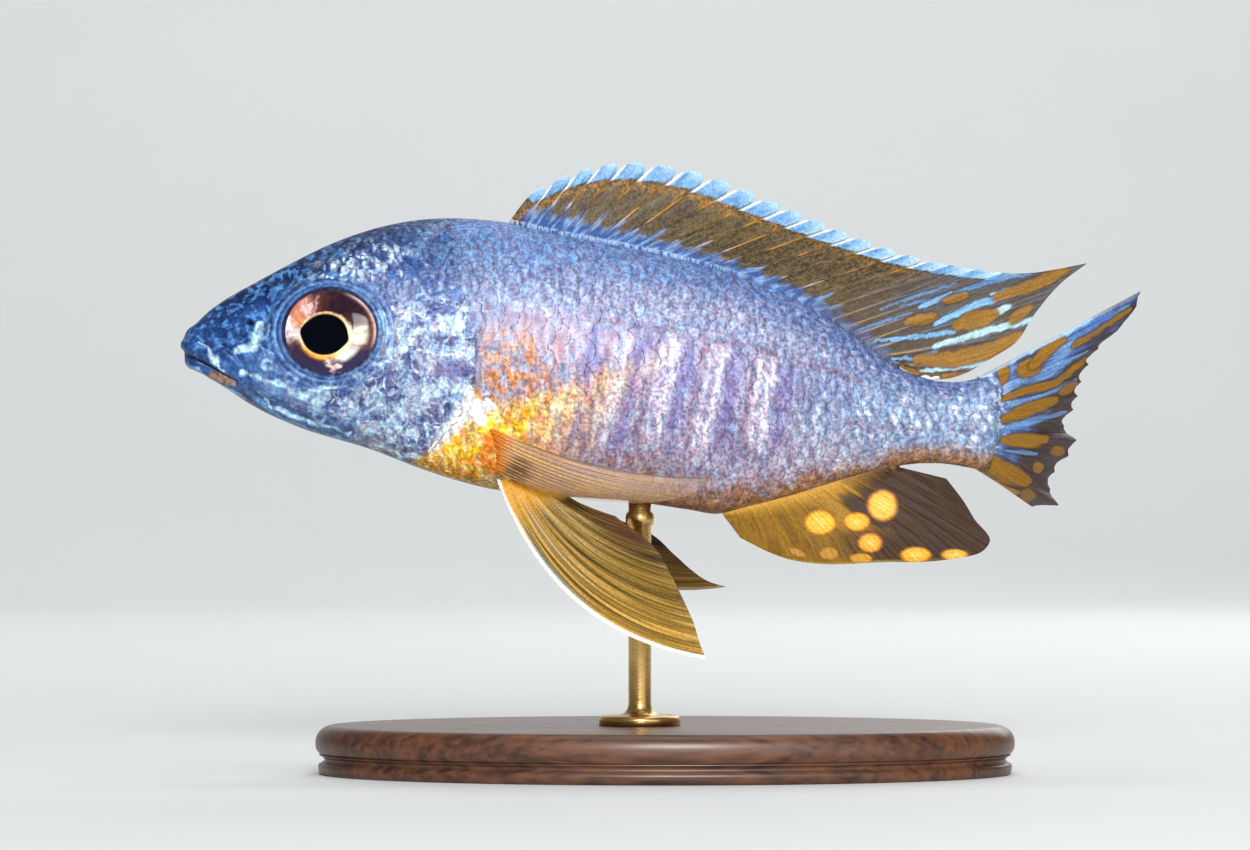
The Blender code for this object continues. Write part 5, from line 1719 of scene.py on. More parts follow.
    def tint(self, u: Array, v: Array, places: Array, ridge: Array) -> Array:
        """Blue along the base, brown-olive membrane, gold and blue marks behind, pale blue lappets."""
        s, h = places[..., 0], places[..., 2]
        root = self.base(u)
        rise = np.hypot(s - root, h - self.body.back(root))
        whole = rise[:, -1:]
        small = self.grain(s * 1.5, h * 1.5, 3)
        tiny = self.grain(s * 5.5, h * 5.5, 2)
        streaked = self.grain(u * 5, rise * 0.5, 3)
        fine = self.grain(u * 12, rise * 0.8 + 7, 2)
        part = u - np.floor(u)
        soft = ease(u, 15.5, 18.5)
        hard = 1 - soft
        near_ray = fall(np.minimum(part, 1 - part), 0.02, 0.3)
        level = 2.2 * (1 - 0.3 * ease(u, 7, 16)) + 1.4 * (small - 0.5)
        level = level + 2.6 * near_ray * ease(streaked, 0.3, 0.7)
        blue = fall(rise, level - 1.1, level + 0.5) * ease(u, 0.2, 1.3) * (1 - 0.5 * soft)
        blue = blue * (1 - 0.35 * ease(tiny, 0.5, 0.75))
        shaded = over(plain(u, 0x385A9C), srgb(0x78A4D6), ease(streaked, 0.45, 0.7))
        line = hump((u - np.round(u)) / 0.04, 0, 1)
        streak = ease(self.grain(np.round(u) * 3.7 + 3.3, rise * 0.5, 2), 0.46, 0.66)
        edge = fall(rise, 0.1, 0.5) * fall(u, 11, 15)
        colour = painted(
            plain(u, 0x52422A),
            (0x765C2C, 0.4 * ease(streaked, 0.5, 0.66) * hard),
            (0x382A16, 0.5 * ease(streaked, 0.5, 0.36)),
            (0x282012, 0.5 * ease(tiny, 0.5, 0.34) * hard),
            (0x846C3C, 0.45 * ease(tiny, 0.5, 0.66) * hard),
            (0x847660, 0.35 * ease(fine, 0.56, 0.74)),
            (0x625448, 0.5 * soft),
            (0xBA8012, 0.8 * hump(whole - rise, 3.4, 0.9) * hard * ease(tiny, 0.35, 0.65)
             * (1 - 0.6 * ease(u, 8, 14))),
            (shaded, blue),
            # orange and cream streaks along some spines: partly their own colour, partly painted highlights
            (0xE29E46, 0.8 * line * streak * hard * ease(rise, 2.6, 5)),
            (0xECDECE, 0.8 * line * streak * hard * hump(rise, 3.4, 1.6)),
            (0xCEA868, 0.7 * ridge * soft * fall(rise, 3, 9)),
            (0x78A8DE, 0.35 * ridge * soft * ease(rise, 2, 6)),
            (0xC4DCF4, 0.6 * edge * ease(tiny, 0.35, 0.6)),
        )
        marks = outlined(outlined(self.marks(), self.gold, 0x362E28, 0.25), self.blue, 0x2C3854, 0.16)
        colour = lay_all(colour, marks, s + 0.6 * (small - 0.5), h + 0.6 * (small - 0.5) + 0.2 * (tiny - 0.5))
        dim = 0.16 * (1 - ridge) * ease(streaked, 0.4, 0.6)
        colour = colour * (1 + (0.5 * (tiny - 0.5) - dim) * soft)[..., None]
        deep = 2.75 + 0.5 * ease(u, 4, 10) - 0.7 * ease(u, 12, 17) + 0.45 * (tiny - 0.5) + 0.5 * (0.5 - part)
        deep = np.minimum(deep, 0.52 * whole * ease(u, -0.5, 1))
        past_notch = whole + self.notch(u) - rise
        lappet = fall(past_notch, deep - 0.1, deep + 0.1)
        end = fall(u, 18.9, 19.8)
        streaks = ease(self.grain(u * 7, rise * 0.8, 2), 0.45, 0.75)
        gap = hump(part, 0.99, 0.045) + hump(part, -0.01, 0.045)
        pale = painted(
            plain(u, 0x7EB4DE),
            (0x5084C0, 0.8 * streaks),
            (0x4A78AC, 0.5 * ease(tiny, 0.5, 0.64)),
            (0xFAFCF8, fall(part, 0.08, 0.2) * fall(u, 16.5, 17)),
            (0xD8EAF2, 0.5 * fall(past_notch, 0.2, 0.7) * ease(part, 0.1, 0.3)),
            (0xB2D8EE, 0.55 * ease(part, 0.25, 0.6) * fall(past_notch, 0.5, 2.4)),
            (0xD2EAF4, 0.5 * ease(part, 0.3, 0.9) * ease(u, 9, 14)),
            (0x322C2E, 0.9 * gap * (u < self.spines)),
        )
        return painted(
            colour,
            (0x2C2010, 0.7 * hump(past_notch, deep + 0.25, 0.2) * end * ease(small, 0.3, 0.6)),
            (pale, lappet * end),
        )


@dataclass
class AnalFin(Fin):
    """The fin under the tail, with its egg spots."""

    name: str = "anal_fin"
    rays: int = 13
    spines: int = 3
    fine: int = 30
    tall: int = 70
    sweep: float = -1.2
    inward: tuple = (0, 0, 1)
    base: Curve = Curve(((0, 66.2), (2, 69.6), (6, 76.6), (12, 88)))
    margin: Curve = Curve((
        (0, 68.4, -17), (1, 72.2, -18.9), (3, 78.3, -20.2), (5, 85.7, -20), (7, 93.7, -19.7),
        (8, 98, -18.8), (8.6, 99.1, -17.6), (10, 97.2, -14.6), (11, 95.8, -12.3), (12, 93.8, -9.7),
    ))
    grain: Grain = Grain(41)
    spots: tuple = (
        Spot((78.2, -15.1), (1.75, 1.38), 0xFFCC42, 1, 0xBC6424),
        Spot((82.7, -15), (1.45, 1.02), 0xFFC43C, 1, 0xBC6424),
        Spot((85.9, -13), (1.62, 1.7), 0xFFCE54, 1, 0xC46E3C),
        Spot((84.4, -17.6), (1.32, 1.06), 0xFFBA3C, 1, 0xB46024),
        Spot((90, -19.1), (1.7, 0.9), 0xFFBE34, 1, 0x96501A),
        Spot((94.8, -19.1), (1.5, 0.65), 0xFCBA3C, 1, 0x8C4A1A),
        Spot((79.3, -18.9), (1.1, 0.7), 0xDC9E42, 0.75),
        Spot((83.3, -19.5), (1.3, 0.55), 0xEEAA3C, 0.85),
        Spot((75.4, -18.8), (1, 0.4), 0xE2A054, 0.7, None, -25),
    )

    def surface(self, u: Array, v: Array) -> Array:
        """Straight rays from the belly to the margin, with a slow wave across the fin."""
        s = self.base(u)
        root = np.stack([s, self.body.belly(s)], axis=-1)
        place = root + (self.margin(u) - root) * v[..., None]
        y = self.body.bend(place[..., 0]) + 0.6 * v * np.sin(0.5 * u + 0.8)
        return upright(place, y)

    def tint(self, u: Array, v: Array, places: Array, ridge: Array) -> Array:
        """Olive gold in front, dark brown behind, gold near the base, and the egg spots."""
        s, h = places[..., 0], places[..., 2]
        small = self.grain(s * 0.9, h * 0.9, 3)
        front = fall(s + 0.6 * h + 3 * (small - 0.5), 66, 75)
        swept = u - self.sweep * v
        fine = ease(self.grain(swept * 5 + 9, v * 2.5, 2), 0.4, 0.65)
        gold = ease(self.grain(swept * 2, v * 3 + 4, 2), 0.5, 0.66) * ease(s, 76, 80) * fall(s, 84, 90)
        colour = painted(
            plain(u, 0x463428),
            (0x96701E, front),
            (0x6C4E18, 0.6 * fine * front),
            (0x34261E, 0.5 * fine * (1 - front)),
            (0xC49636, 0.35 * ridge * front),
            (0x967030, 0.5 * ridge * (1 - front) * fall(s, 82, 92)),
            (0xC4922C, 0.7 * gold * fall(v, 0.35, 0.7)),
            (0xDEA848, 0.8 * fall(v, 0.04, 0.2) * fall(s, 76, 88)),
            (0xBEA654, 0.8 * ease(v, 0.95, 1) * fall(u, 5, 8)),
        )
        colour = lay_all(colour, self.spots, s + 0.25 * (small - 0.5), h)
        # glow: the egg spots' bright yellow cores, partly their own colour, partly a painted highlight
        glow = np.max([1 - ease(spot.reach(s, h), 0.1, 0.75) for spot in self.spots[:6]], axis=0)
        lined = hump((swept * 4 - np.round(swept * 4)) / 0.14, 0, 1)
        return painted(
            colour,
            (0xFFE280, 0.7 * glow),
            (0xAA6428, 0.4 * lined * ease(v, 0.1, 0.3) * (0.2 + 0.8 * np.maximum(front, glow > 0.02))),
        )


@dataclass
class TailFin(Fin):
    """The tail fin, swung to the fish's right, with its lower lobe trailing further."""

    name: str = "tail_fin"
    rays: int = 15
    fine: int = 24
    tall: int = 120
    branching: float = 0.35
    root_thickness: float = 2.3
    root_depth: float = 0.5
    root_taper: float = 2.2
    facing: tuple = (-0.57, 0.82, 0)
    inward: tuple = (-1, 0, 0)
    root_top: tuple = (98.2, 2.9)
    root_bottom: tuple = (97.4, -8.4)
    margin: Curve = Curve((
        (0, 118.2, 13.5), (1, 117.3, 11), (2, 115.4, 8.6), (3, 113.2, 6.4), (4, 111.9, 4.4),
        (5, 111.1, 2.3), (7, 110.3, -1.2), (8, 109.2, -3.2), (9, 110.9, -5), (10, 109.7, -7),
        (11, 108.1, -9), (12, 107.6, -11.2), (13, 108.6, -13.2), (14, 105.4, -13.4),
    ))
    swing: Curve = Curve(((0, 5.5), (4, 9), (8, 12), (14, 14)))
    grain: Grain = Grain(51)
    gold: int = 0x9E7022
    blue: int = 0x74A0D4

    def surface(self, u: Array, v: Array) -> Array:
        """Rays from the bowed end of the tail stalk, swinging to the right as they go back."""
        f = u / (self.rays - 1)
        root = between(self.root_top, self.root_bottom, f)
        root[..., 0] += self.body.stalk_bow * 4 * f * (1 - f)
        ragged = 0.05 * np.abs(np.sin(math.pi * u)) * ease(u, 1, 3)
        ragged = ragged + 0.03 * (self.grain(u * 2.3, 0.5 + 0 * u, 2) - 0.5)
        place = root + (self.margin(u) - root) * (v * (1 - ragged * v * v))[..., None]
        y = self.body.bend(root[..., 0]) + self.swing(u) * (0.55 * v + 0.45 * v * v)
        return upright(place, y)

    def scaled(self, u: Array, v: Array) -> Array:
        """The small scales pressed into the fin's root: 1 at each rear edge, in staggered rows."""
        row = v / 0.055
        across = 1.4 * u + 0.5 * (np.floor(row) % 2)
        side = 2 * (across - np.floor(across)) - 1
        reach = (row - np.floor(row)) * (1 - 0.35 * side**2)
        return ease(reach, 0, 0.8) * fall(v + 0.02 * np.abs(u - 7), 0.2, 0.32)

    def relief(self, u: Array, v: Array) -> Array:
        """The small scales stand 0.05 mm out at their rear edges."""
        return 0.05 * self.scaled(u, v)

    def marks(self) -> tuple:
        """The bright blue streaks, and the gold spots and streaks between them."""
        gold, blue, pale = self.gold, self.blue, 0xA6D0F0
        return (
            Stroke(((100, 3.6), (104, 6.4), (109, 8.3), (116.8, 13)), 0.55, pale, 0.9, 0.3, 0.4),
            Stroke(((104.2, 6), (107.4, 7.9)), 0.9, 0xB2DCF6, 0.9, 0.3, 0.3),
            Stroke(((106, 3.6), (110, 6.6), (116.6, 11.8)), 0.5, blue, 0.9, 0.3, 0.4),
            Stroke(((101.6, 1.3), (106, 2.9), (111.6, 6.2)), 0.5, blue, 0.9, 0.3, 0.4),
            Stroke(((101.2, -0.9), (106, 0.6), (110.6, 2.6)), 0.6, blue, 0.9, 0.3, 0.4),
            Stroke(((101.2, -3.6), (106, -2.6), (109.4, -1.6)), 0.6, blue, 0.9, 0.3, 0.4),
            Stroke(((101.4, -6.2), (105.4, -6.6)), 0.5, blue, 0.8, 0.3, 0.4),
            Spot((100.7, 3.3), (0.75, 1.5), gold), Spot((104, 3.9), (1.5, 1.2), gold, 1, None, 30),
            Stroke(((104.4, 4.2), (106.6, 6.3), (108, 7.3)), 1.35, gold, 1, 0.3, 0.3),
            Stroke(((100.9, 0.1), (103.4, 1.2), (107.6, 2.2), (111.6, 5)), 1, gold, 1, 0.3, 0.4),
            Stroke(((112, 10.2), (115, 11.9), (118.2, 13.6)), 0.6, 0x967C28, 0.85, 0.3, 0.3),
            Stroke(((109.6, 6.5), (113, 8.6), (117, 11.4)), 0.7, gold, 0.95, 0.3, 0.4),
            Stroke(((108.5, 1), (110.6, 1.9)), 1.2, gold, 0.95, 0.3, 0.3),
            Stroke(((100.9, -2.6), (104, -1.4), (107.6, -0.1)), 1.4, gold, 1, 0.3, 0.35),
            Stroke(((101.2, -5), (106.4, -4.9)), 1.5, gold, 1, 0.3, 0.35),
            Stroke(((95.4, -7.4), (99, -7.9), (101.4, -9), (103.9, -9.9)), 2.4, gold, 1, 0.3, 0.35),
            Stroke(((96.4, -8.6), (99.6, -10.2), (103.2, -11.6)), 0.8, 0xCE901E, 0.95, 0.3, 0.3),
            Spot((104.3, -11.9), (1.05, 1.05), gold), Spot((105.7, -8.4), (0.65, 0.65), gold),
            Spot((108.1, -6.4), (0.9, 0.6), gold, 0.8), Spot((108.7, -13.2), (0.6, 0.5), gold, 0.7),
        )

    def tint(self, u: Array, v: Array, places: Array, ridge: Array) -> Array:
        """Blue between gold streaks, darkening to purple-brown towards the lower rear margin, partly the
        fin's own colour and partly painted shade on the lower lobe.
        """
        s, h = places[..., 0], places[..., 2]
        small = self.grain(s * 0.8, h * 0.8, 3)
        along = self.grain(u * 1.6, v * 2.2, 3)
        # rear: purple-brown towards the lower rear margin, partly painted shade where the lower lobe turns
        # from the light
        rear = ease(v + 0.05 * (u - 6) + 0.3 * (small - 0.5), 0.48, 0.8)
        colour = painted(
            plain(u, 0x587ABE),
            (0x3A4268, 0.85 * ease(along, 0.48, 0.66)),
            (0x96BEEC, 0.7 * ease(along, 0.44, 0.3)),
            (0xA0C2EC, 0.6 * fall(v, 0.06, 0.26)),
            (0x46342E, 0.95 * rear),
            (0x8CB8E8, 0.45 * ridge * (1 - rear) * fall(v, 0.6, 0.9)),
            (0x705442, 0.4 * ridge * rear),
        )
        dapple = 1 + 0.5 * (self.grain(s * 3.5, h * 3.5, 2) - 0.5)
        colour = colour * (dapple - 0.22 * (1 - ridge) * ease(v, 0.1, 0.3))[..., None]
        stalk = fall(v + 0.24 * (self.grain(u * 1.5, v * 9 + 4, 2) - 0.5) + 0.01 * np.abs(u - 7), 0.14, 0.34)
        speck = self.grain(s * 1.9, h * 1.9 + 20, 2)
        scaly = painted(
            plain(u, 0x8498C0),
            (0x586A9C, 0.9 * ease(speck, 0.5, 0.38)),
            (0xDAE8F6, 0.9 * ease(speck, 0.48, 0.6) * (0.4 + 0.6 * self.scaled(u, v))),
        )
        colour = over(colour, scaly, 0.95 * stalk * fall(u, 10, 12.5))
        marks = outlined(self.marks(), self.gold, 0x48382E, 0.3)
        colour = lay_all(colour, marks, s + 0.8 * (small - 0.5), h + 0.8 * (along - 0.5))
        blue_edge = fall(u, 0.1, 0.35) * fall(v, 0.45, 0.7)
        return painted(
            colour,
            (0x602C1E, 0.75 * ease(v, 0.95, 0.99) * ease(u, 2, 5)),
            (0xBAD6F0, 0.8 * blue_edge),
        )


def bowed(place: Array, start: tuple, end: tuple, depth: float) -> Array:
    """Places in side view moved across the line from start to end: by depth at its middle."""
    line = np.array(end, float) - np.array(start, float)
    length = np.linalg.norm(line)
    part = np.clip((place - np.array(start)) @ line / length**2, 0, 1)
    across = np.array((line[1], -line[0])) / length
    return place + across * (depth * 4 * part * (1 - part))[..., None]


def unbowed(place: Array, start: tuple, end: tuple, depth: float, corrections: int = 5) -> Array:
    """The places that bowed() moves to the given ones, found by that many corrections."""
    found = np.array(place, float)
    for _ in range(corrections):
        found = found + place - bowed(found, start, end, depth)
    return found


@dataclass
class PectoralFin(Fin):
    """The fin behind a gill cover, laid back along the flank and held a little off it."""

    side: Side = Side.LEFT
    rays: int = 13
    slot: Slot = Slot.PAIRED
    fine: int = 18
    tall: int = 64
    ray_height: float = 0.2
    membrane: float = 0.12
    branching: float = 0.42
    root_thickness: float = 1.0
    root_top: tuple = (38.2, -3.6)
    root_bottom: tuple = (38.9, -8.6)
    tips: tuple = (
        (0, 64.1, -9.5), (1, 64, -10.2), (3, 62, -11.6), (6, 57.4, -12.5), (9, 51, -12.4),
        (12, 44.8, -11.4),
    )
    sag: float = 1.5
    spread: float = 4.2
    grain: Grain = Grain(61)

    def __post_init__(self) -> None:
        """Works out the name, the bow that all rays share, and the margin before it is bowed."""
        self.name = f"pectoral_fin_{self.side.label}"
        self.bow = (self.root_top, self.tips[0][1:], self.sag)
        self.margin = Curve(tuple((ray, *unbowed((s, h), *self.bow)) for ray, s, h in self.tips))
        self.facing = (-0.2, self.side.value, 0)
        self.inward = (-0.7, -0.8 * self.side.value, 0)

    def surface(self, u: Array, v: Array) -> Array:
        """A fan of straight rays bowed together, leaving the flank as it goes back."""
        f = u / (self.rays - 1)
        root = between(self.root_top, self.root_bottom, f)
        place = bowed(root + (self.margin(u) - root) * v[..., None], *self.bow)
        length = self.tips[0][1] - self.root_top[0]
        far = (place[..., 0] - root[..., 0]) / length
        off = self.spread * far * (1.5 - 0.5 * far) + 0.8 * np.sin(math.pi * f) * v
        y = self.side.value * (self.body.flank(root[..., 0], root[..., 1]) - 0.4 * f + off)
        return upright(place, y)

    def solid(self, u: Array, v: Array, ridge: Array) -> Array:
        """Rays, root and upper edge are solid, and the membrane between them is see-through."""
        firm = np.maximum(1 - ease(v, 0.02, 0.22), 0.8 * fall(u, 0.05, 0.3))
        rays = 0.36 + 0.6 * ridge * (1 - 0.45 * ease(v, 0.6, 1))
        return np.clip(rays + 0.6 * firm - 0.34 * ease(v, 0.35, 0.95), 0, 1)

    def tint(self, u: Array, v: Array, places: Array, ridge: Array) -> Array:
        """Amber-brown membrane between darker edged, golden rays."""
        along = self.grain(u * 2, v * 3, 3)
        # lit: rays painted brighter gold, partly their own colour, partly painted highlights
        lit = ease(self.grain(np.round(u * 2) * 3.1, v * 5, 2), 0.25, 0.6)
        patch = np.hypot((places[..., 0] - 40.9) / 2.3, (places[..., 2] + 8.6) / 1.9)
        root = fall(v + 0.12 * (along - 0.5) + 0.05 * (ridge - 0.5), 0.02, 0.12)
        return painted(
            plain(u, 0xCEAC8A),
            (0xA68E90, 0.7 * fall(u, 1, 4.5) * ease(v, 0.15, 0.5)),
            (0xF4CA7A, 0.95 * ridge * lit),
            (0xDEC2B0, 0.7 * ridge * fall(u, 2.5, 7) * ease(v, 0.2, 0.5)),
            (0x68481E, 0.85 * (1 - 0.9 * ridge * lit) * fall(patch, 0.4, 1.2)),
            (over(plain(u, 0xE8922C), srgb(0xCE5C1E), ease(along, 0.46, 0.62)), root),
            (0x6C5250, 0.85 * fall(u, 0.1, 0.4) * ease(v, 0.06, 0.2)),
        )


@dataclass
class PelvicFin(Fin):
    """A pelvic fin: a stout pale leading edge drawn out to a point, and shorter rays behind it."""

    side: Side = Side.LEFT
    rays: int = 6
    slot: Slot = Slot.PAIRED
    spines: int = 1
    fine: int = 40
    tall: int = 80
    branching: float = 0.25
    root_front: tuple = (38.9, 3)
    root_rear: tuple = (46.6, 2.2)
    near_tips: tuple = (
        (0, 64.1, 9.4, -31.6), (1, 63.3, 9.2, -29.8), (2, 62.2, 8.8, -26.4), (3, 60, 8.2, -21.8),
        (4, 57.4, 7, -17.6), (5, 53, 5.4, -14.2),
    )  # for each ray its s, its distance from the middle and its h
    far_tips: tuple = (
        (0, 66.9, 14.8, -23.4), (1, 64.4, 14.2, -22.6), (2, 62.4, 13.4, -21.2), (3, 60.2, 12.4, -19.2),
        (4, 57.4, 11, -16.7), (5, 52.6, 8.4, -14.4),
    )
    sag: float = 4.7
    grain: Grain = Grain(71)

    def __post_init__(self) -> None:
        """Works out the name, the bow, the table of tips before it, and the thickness's direction."""
        self.name = f"pelvic_fin_{self.side.label}"
        tips = self.near_tips if self.side is Side.LEFT else self.far_tips
        s = self.root_front[0]
        self.bow = ((s, float(self.body.belly(np.array(s)))), (tips[0][1], tips[0][3]), self.sag)
        self.margin = Curve(tuple((ray, out, *unbowed((s, h), *self.bow)) for ray, s, out, h in tips))
        last = self.rays - 1
        u = np.array([0, last / 2, last])
        ends = self.surface(u, np.ones(3)) - self.surface(u, np.zeros(3))
        roots = self.surface(u, np.zeros(3))
        one = np.cross(roots[2] - roots[0], ends[1])
        two = np.cross(ends[2], ends[0])
        self.facing = tuple(one / np.linalg.norm(one) + two / np.linalg.norm(two))
        self.inward = (-0.3, 0, 1)

    def surface(self, u: Array, v: Array) -> Array:
        """A fan of straight rays bowed together, hanging outwards from the belly."""
        f = u / (self.rays - 1)
        s = self.root_front[0] * (1 - f) + self.root_rear[0] * f
        root_out = self.root_front[1] * (1 - f) + self.root_rear[1] * f
        root = unbowed(np.stack([s, self.body.belly(s) + 0.4], axis=-1), *self.bow, corrections=4)
        margin = self.margin(u)
        place = bowed(root + (margin[..., 1:] - root) * v[..., None], *self.bow)
        y = self.side.value * (root_out + (margin[..., 0] - root_out) * v)
        return upright(place, y)

    def tint(self, u: Array, v: Array, places: Array, ridge: Array) -> Array:
        """White leading edge, then yellow-olive with darker stripes; the far fin is painted darker all over,
        as painted shade.
        """
        # near is 1 on the near fin and 0.14 on the far one: the far fin gets weaker coats and a dull edge,
        # painted shade where the body shades it
        near = 1 if self.side is Side.LEFT else 0.14
        stripes = self.grain(u * 3.4, v * 1.1 + 5, 3)
        fine = self.grain(u * 13, v * 1.6 + 9, 2)
        edge = fall(u, 0.3, 0.38)
        return painted(
            plain(u, 0x462E24),
            (0x68522A, near),
            (0x96762C, near * fall(u + 0.8 * v, 2.8, 4.8)),
            (0xCA9C2C, near * fall(u + 0.3 * v, 0.9, 2.2)),
            (0x2C220E, 0.85 * ease(stripes, 0.5, 0.6) * ease(v, 0.05, 0.2)),
            (0xD6B878, 0.6 * near * ease(stripes, 0.44, 0.36) * fall(v, 0.25, 0.75)),
            (0x423212, 0.6 * ease(fine, 0.5, 0.66)),
            (0xCEA03E, 0.6 * ridge * near * (1 - 0.6 * ease(u, 1.5, 3.5))),
            (0xF0BE68, 0.7 * near * ease(fine, 0.46, 0.34) * (1 - 0.75 * ease(u, 1.2, 2.8))),
            (0x5C8C9C, 0.8 * near * hump(u, 0.46, 0.1) * ease(v, 0.15, 0.3) * fall(v, 0.4, 0.6)),
            (0x603428, 0.5 * near * ease(u, 3, 4.4) * ease(v, 0.4, 0.7)),
            (0xE8A838, (0.4 + 0.5 * near) * fall(v, 0.02, 0.14)),
            (srgb(0xFCFAF0) if near == 1 else srgb(0x967E58), 0.95 * edge),
        )


@dataclass
class Eye:
    """An eye: the iris and pupil, the clear cornea before them, and the ring of skin round both."""

    body: Body
    markings: Markings
    side: Side
    radii: tuple = (5.95, 5.3)
    pupil: tuple = (2.82, 2.24)
    ball_depth: float = 3.3
    rim_height: float = 0.05
    dome: float = 1.5
    pupil_shift: tuple = (-0.64, -0.36)
    cornea_wall: float = 0.14
    turn_forward: float = math.radians(8.0)
    turn_up: float = math.radians(6.0)
    around: int = 192

    def frame(self) -> tuple[Array, Array, Array, Array]:
        """The eye's middle on the cheek, and its own directions: back, up and out."""
        s, h = self.body.eye
        sign = self.side.value
        out = float(self.body.flank(np.array(s), np.array(h)))
        centre = np.array((s, sign * out, h))
        ahead, up = self.turn_forward, self.turn_up
        normal = np.array((-math.sin(ahead), sign * math.cos(ahead), math.tan(up)))
        normal /= np.linalg.norm(normal)
        back = np.cross(np.cross(normal, (1, 0, 0)), normal)
        back /= np.linalg.norm(back)
        lift = np.cross(normal, back) * -sign
        lift *= np.sign(lift[2])
        return centre, back, lift, normal

    def polar(self, reach: Array, angle: Array, height: Array) -> Array:
        """Places at a share of the eye's radii, an angle from the rear, and a height off the cheek."""
        centre, back, lift, normal = self.frame()
        across = (reach * self.radii[0] * np.cos(angle))[..., None] * back
        up = (reach * self.radii[1] * np.sin(angle))[..., None] * lift
        return centre + across + up + height[..., None] * normal

    def disc(self, reach: Array, height: Array) -> tuple[Array, list, Array, Array]:
        """A closed round body, turned round the eye's axis.

        Args:
            reach: the profile's distances from the axis, on which it starts and ends.
            height: its heights off the cheek.

        Returns:
            Points, faces, and the reach and angle of each point of the rings.
        """
        r, a = rings(self.around, reach[1:-1])
        ring = self.polar(r, a, np.broadcast_to(height[1:-1, None], r.shape))
        poles = self.polar(np.zeros(2), np.zeros(2), height[[0, -1]])
        return np.concatenate([ring.reshape(-1, 3), poles]), capped_faces(*r.shape), r, a

    def iris(self) -> Piece:
        """The iris, a shallow cone that rises to the pupil, with the lens standing in it."""
        edge = self.pupil[0] / self.radii[0]
        lens = np.linspace(0, edge * 0.97, 14)
        cone = np.linspace(edge * 1.02, 0.985, 40)
        back = np.linspace(0.985, 0, 14)
        reach = np.concatenate([lens, [edge], cone, back[1:]])
        lens_height = 0.62 + 0.35 * np.sqrt(np.maximum(1 - (lens / edge) ** 2, 0)) - 0.3
        cone_height = 0.62 - 0.62 * ease(cone, edge, 1) + 0.12 * hump(cone, edge * 1.08, 0.04)
        back_height = -self.ball_depth * 0.75 * np.sqrt(np.maximum(1 - (back / 0.985) ** 2, 0)) - 0.02
        height = np.concatenate([lens_height, [0.42], cone_height, back_height[1:]]) - 0.35
        points, faces, r, a = self.disc(reach, height)
        front = np.arange(len(reach)) < len(lens) + 1 + len(cone)
        slide = fall(reach, edge, 1) * front
        slide = np.concatenate([np.repeat(slide[1:-1], self.around), slide[[0, -1]]])
        _, back, lift, _ = self.frame()
        points = points + slide[:, None] * (self.pupil_shift[0] * back + self.pupil_shift[1] * lift)

        pointed = 1 + 0.1 * hump(off_turn(a, -0.3), 0, 0.3)
        pointed = pointed + 0.08 * hump(off_turn(a, 2.95), 0, 0.3)
        dark = fall(r, edge * pointed * 0.985, edge * pointed * 1.03)
        share = (r - edge) / (1 - edge)
        up, rear = np.sin(a), np.cos(a)
        cloud = self.markings.grain(r * 9 * rear + 50, r * 9 * up, 3)
        colour = painted(
            plain(r, 0x542E2A),
            (0xC47454, 0.9 * ease(-rear + 0.5 * up + 0.8 * (cloud - 0.5), 0.2, 0.9) * ease(up, -0.5, 0.2)),
            (0x241822, 0.9 * ease(up + 0.3 * rear + 0.5 * (cloud - 0.5), 0.45, 1)
             * fall(-rear, 0.35, 0.8)),
            (0x302E4A, 0.9 * ease(-up + 0.6 * (cloud - 0.5), 0.15, 0.7) * ease(share, 0.2, 0.45)),
        )
        flares = ((172, 0.3, 1.4, 0xFFF0E6), (-9, 0.28, 0.76, 0xFCEACC),
                  (-50, 0.3, 0.62, 0xFFF6E2), (150, 0.26, 0.9, 0xEC9668),
                  (128, 0.1, 1.05, 0xECC4BA), (112, 0.07, 0.9, 0xCE9696),
                  (-82, 0.08, 1.05, 0xECC4BA))
        for angle, width, long, shade in flares:
            away = off_turn(a, math.radians(angle)) + 0.5 * (cloud - 0.5)
            flare = np.minimum(1.8 * hump(away, 0, width * (1 - 0.3 * share)), 1)
            colour = over(colour, srgb(shade), flare * fall(share, long * 0.6, long))
        under = hump(off_turn(a, -1.75), 0, 0.75) * fall(share, 0.12, 0.34)
        wide = 0.12 - 0.06 * up + 0.03 * rear + 0.16 * (cloud - 0.5)
        ring = painted(
            plain(r, 0xFFECBA),
            (0xFFC460, ease(-up - 0.3 * rear, 0.5, 0.95)),
            (0xFCBE78, 0.7 * ease(up, 0.3, 0.8)),
        )
        colour = painted(
            colour,
            (0xF69634, 0.95 * under),
            (ring, 0.95 * fall(share, wide - 0.05, wide + 0.08)),
            (0xE8BEB0, 0.75 * hump(share, 0.88, 0.06) * ease(rear, 0.2, 0.7) * ease(up, -0.5, 0)),
            (0x282642, 0.85 * ease(share, 0.93, 1)),
            (0x04060E, dark),
        )
        ends = np.array([srgb(0x04060E), srgb(0x1E181E)])
        tints = np.concatenate([colour.reshape(-1, 3), ends])
        metal = np.concatenate([(1 - dark).ravel(), [0, 0]])
        polar = np.concatenate([np.stack([a / (2 * math.pi), r], axis=-1).reshape(-1, 2), np.zeros((2, 2))])
        return Piece(f"eye_iris_{self.side.label}", points, faces, tints, {"metal": metal}, {"polar": polar})

    def cornea(self) -> Piece:
        """The cornea: a thin clear dome whose height falls as the square root of 1 - reach squared."""
        out = np.linspace(0, 1, 34)
        full = self.rim_height + self.dome * np.sqrt(np.maximum(1 - (out * 0.94) ** 2, 0)) - 0.45
        reach = np.concatenate([out, out[::-1]])
        height = np.concatenate([full, full[::-1] - self.cornea_wall])
        points, faces, _, _ = self.disc(reach, height)
        return Piece(f"eye_cornea_{self.side.label}", points, faces)

